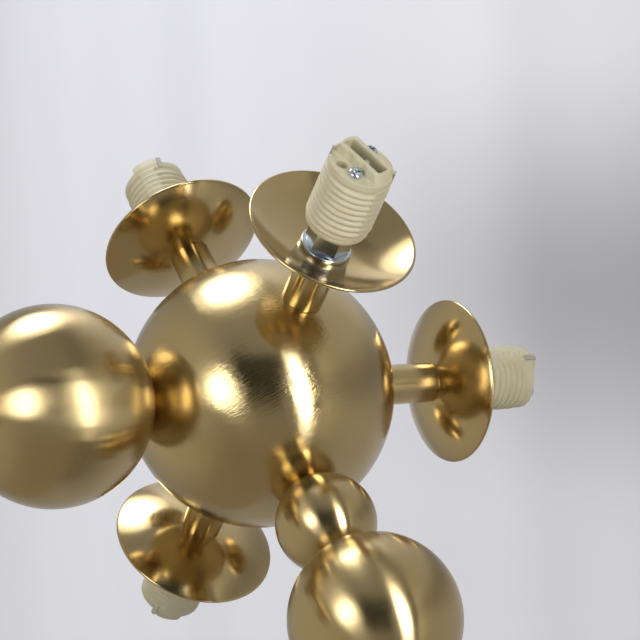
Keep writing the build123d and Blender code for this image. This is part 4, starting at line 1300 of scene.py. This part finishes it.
def pale_world():
    """A pale room with a brighter side, a warm low side and the camera's own dark shape."""
    world = bpy.data.worlds.new("pale_surround")
    world.use_nodes = True
    tree = world.node_tree
    tree.nodes.clear()
    ray = add_node(tree, "ShaderNodeTexCoord").outputs["Generated"]
    up, side, back = [dot(tree, ray, way) for way in (PHOTO_UP, PHOTO_RIGHT, PHOTO_BACK)]
    level = mix(tree, remap(tree, up, LOW_SPAN, (0.0, 1.0)), WORLD_GREY, WORLD_LOW)
    room = mix(tree, remap(tree, side, WINDOW_SPAN, (0.0, 1.0)), level, WORLD_BRIGHT)
    shade = calc(tree, "GREATER_THAN", back, 0.0)
    for value, (centre, half) in ((up, CAMERA_UP), (side, CAMERA_SIDE)):
        away = calc(tree, "ABSOLUTE", calc(tree, "SUBTRACT", value, centre))
        inside = remap(tree, away, (half + CAMERA_SOFT, half - CAMERA_SOFT), (0.0, 1.0))
        shade = calc(tree, "MULTIPLY", shade, inside)
    sky = add_node(tree, "ShaderNodeBackground", Color=mix(tree, shade, room, CAMERA_SHADE), Strength=1.0)
    add_node(tree, "ShaderNodeOutputWorld", Surface=sky.outputs["Background"])
    return world


scene = bpy.context.scene
scene.world = pale_world()
scene.view_settings.view_transform = "Standard"
print("world", scene.world.name)

# %% [markdown]
# Three oval soft lamps light the brass: a large one above it in the photo, and one on each side
# of the camera.
# Each has a dimmer, larger one just behind it, so that its mirror image in a ball, which is a
# highlight, has a soft edge. The right one leans, as its highlight on the hub does.

# %% Soft boxes
def softbox(name, towards, upward, distance, width, height, radiance):
    """A soft oval lamp that faces the hub; its power follows from its brightness and its area."""
    lamp = bpy.data.lights.new(name, "AREA")
    lamp.shape = "ELLIPSE"
    lamp.size = width
    lamp.size_y = height
    lamp.energy = radiance * math.pi * (math.pi / 4 * width * height)
    direction = Vector(towards).normalized()
    across = Vector(upward).cross(direction).normalized()
    box = bpy.data.objects.new(name, lamp)
    turned_to_hub = Matrix((across, direction.cross(across), direction)).transposed().to_4x4()
    box.matrix_world = Matrix.Translation(HUB + direction * distance) @ turned_to_hub
    box.visible_camera = False
    scene.collection.objects.link(box)
    print(name, round(lamp.energy, 2), "W")


TOP = ((-0.92, 0.37, 0.08), PHOTO_BACK)
LEFT = ((0.28, 0.43, 0.86), PHOTO_UP)
RIGHT = ((0.66, 0.74, -0.10), PHOTO_UP - 0.25 * PHOTO_RIGHT)
softbox("softbox_top", *TOP, 0.80, 0.34, 0.46, 5.5)
softbox("softbox_top_edge", *TOP, 0.82, 0.54, 0.70, 1.6)
softbox("softbox_left", *LEFT, 0.45, 0.18, 0.19, 4.0)
softbox("softbox_left_edge", *LEFT, 0.46, 0.28, 0.26, 1.2)
softbox("softbox_right", *RIGHT, 0.60, 0.14, 0.56, 6.0)
softbox("softbox_right_edge", *RIGHT, 0.61, 0.18, 1.05, 1.6)

# %% Camera
FOCAL_PX = 2958.0           # focal length in pixels of the photo
PHOTO_PX = 640.0
SENSOR = 36.0               # mm
CAMERA_AT = Vector((618.0, 682.5, 498.4)) * MM      # from the hub's centre
camera_data = bpy.data.cameras.new("camera")
camera_data.sensor_width = SENSOR
camera_data.lens = FOCAL_PX * SENSOR / PHOTO_PX
camera_data.clip_start = 0.05
camera = new_piece("camera", camera_data)
facing_camera = Matrix((PHOTO_RIGHT, PHOTO_UP, PHOTO_BACK)).transposed().to_4x4()
camera.matrix_world = Matrix.Translation(HUB + CAMERA_AT) @ facing_camera
scene.camera = camera
print("lens", round(camera_data.lens, 1), "mm")
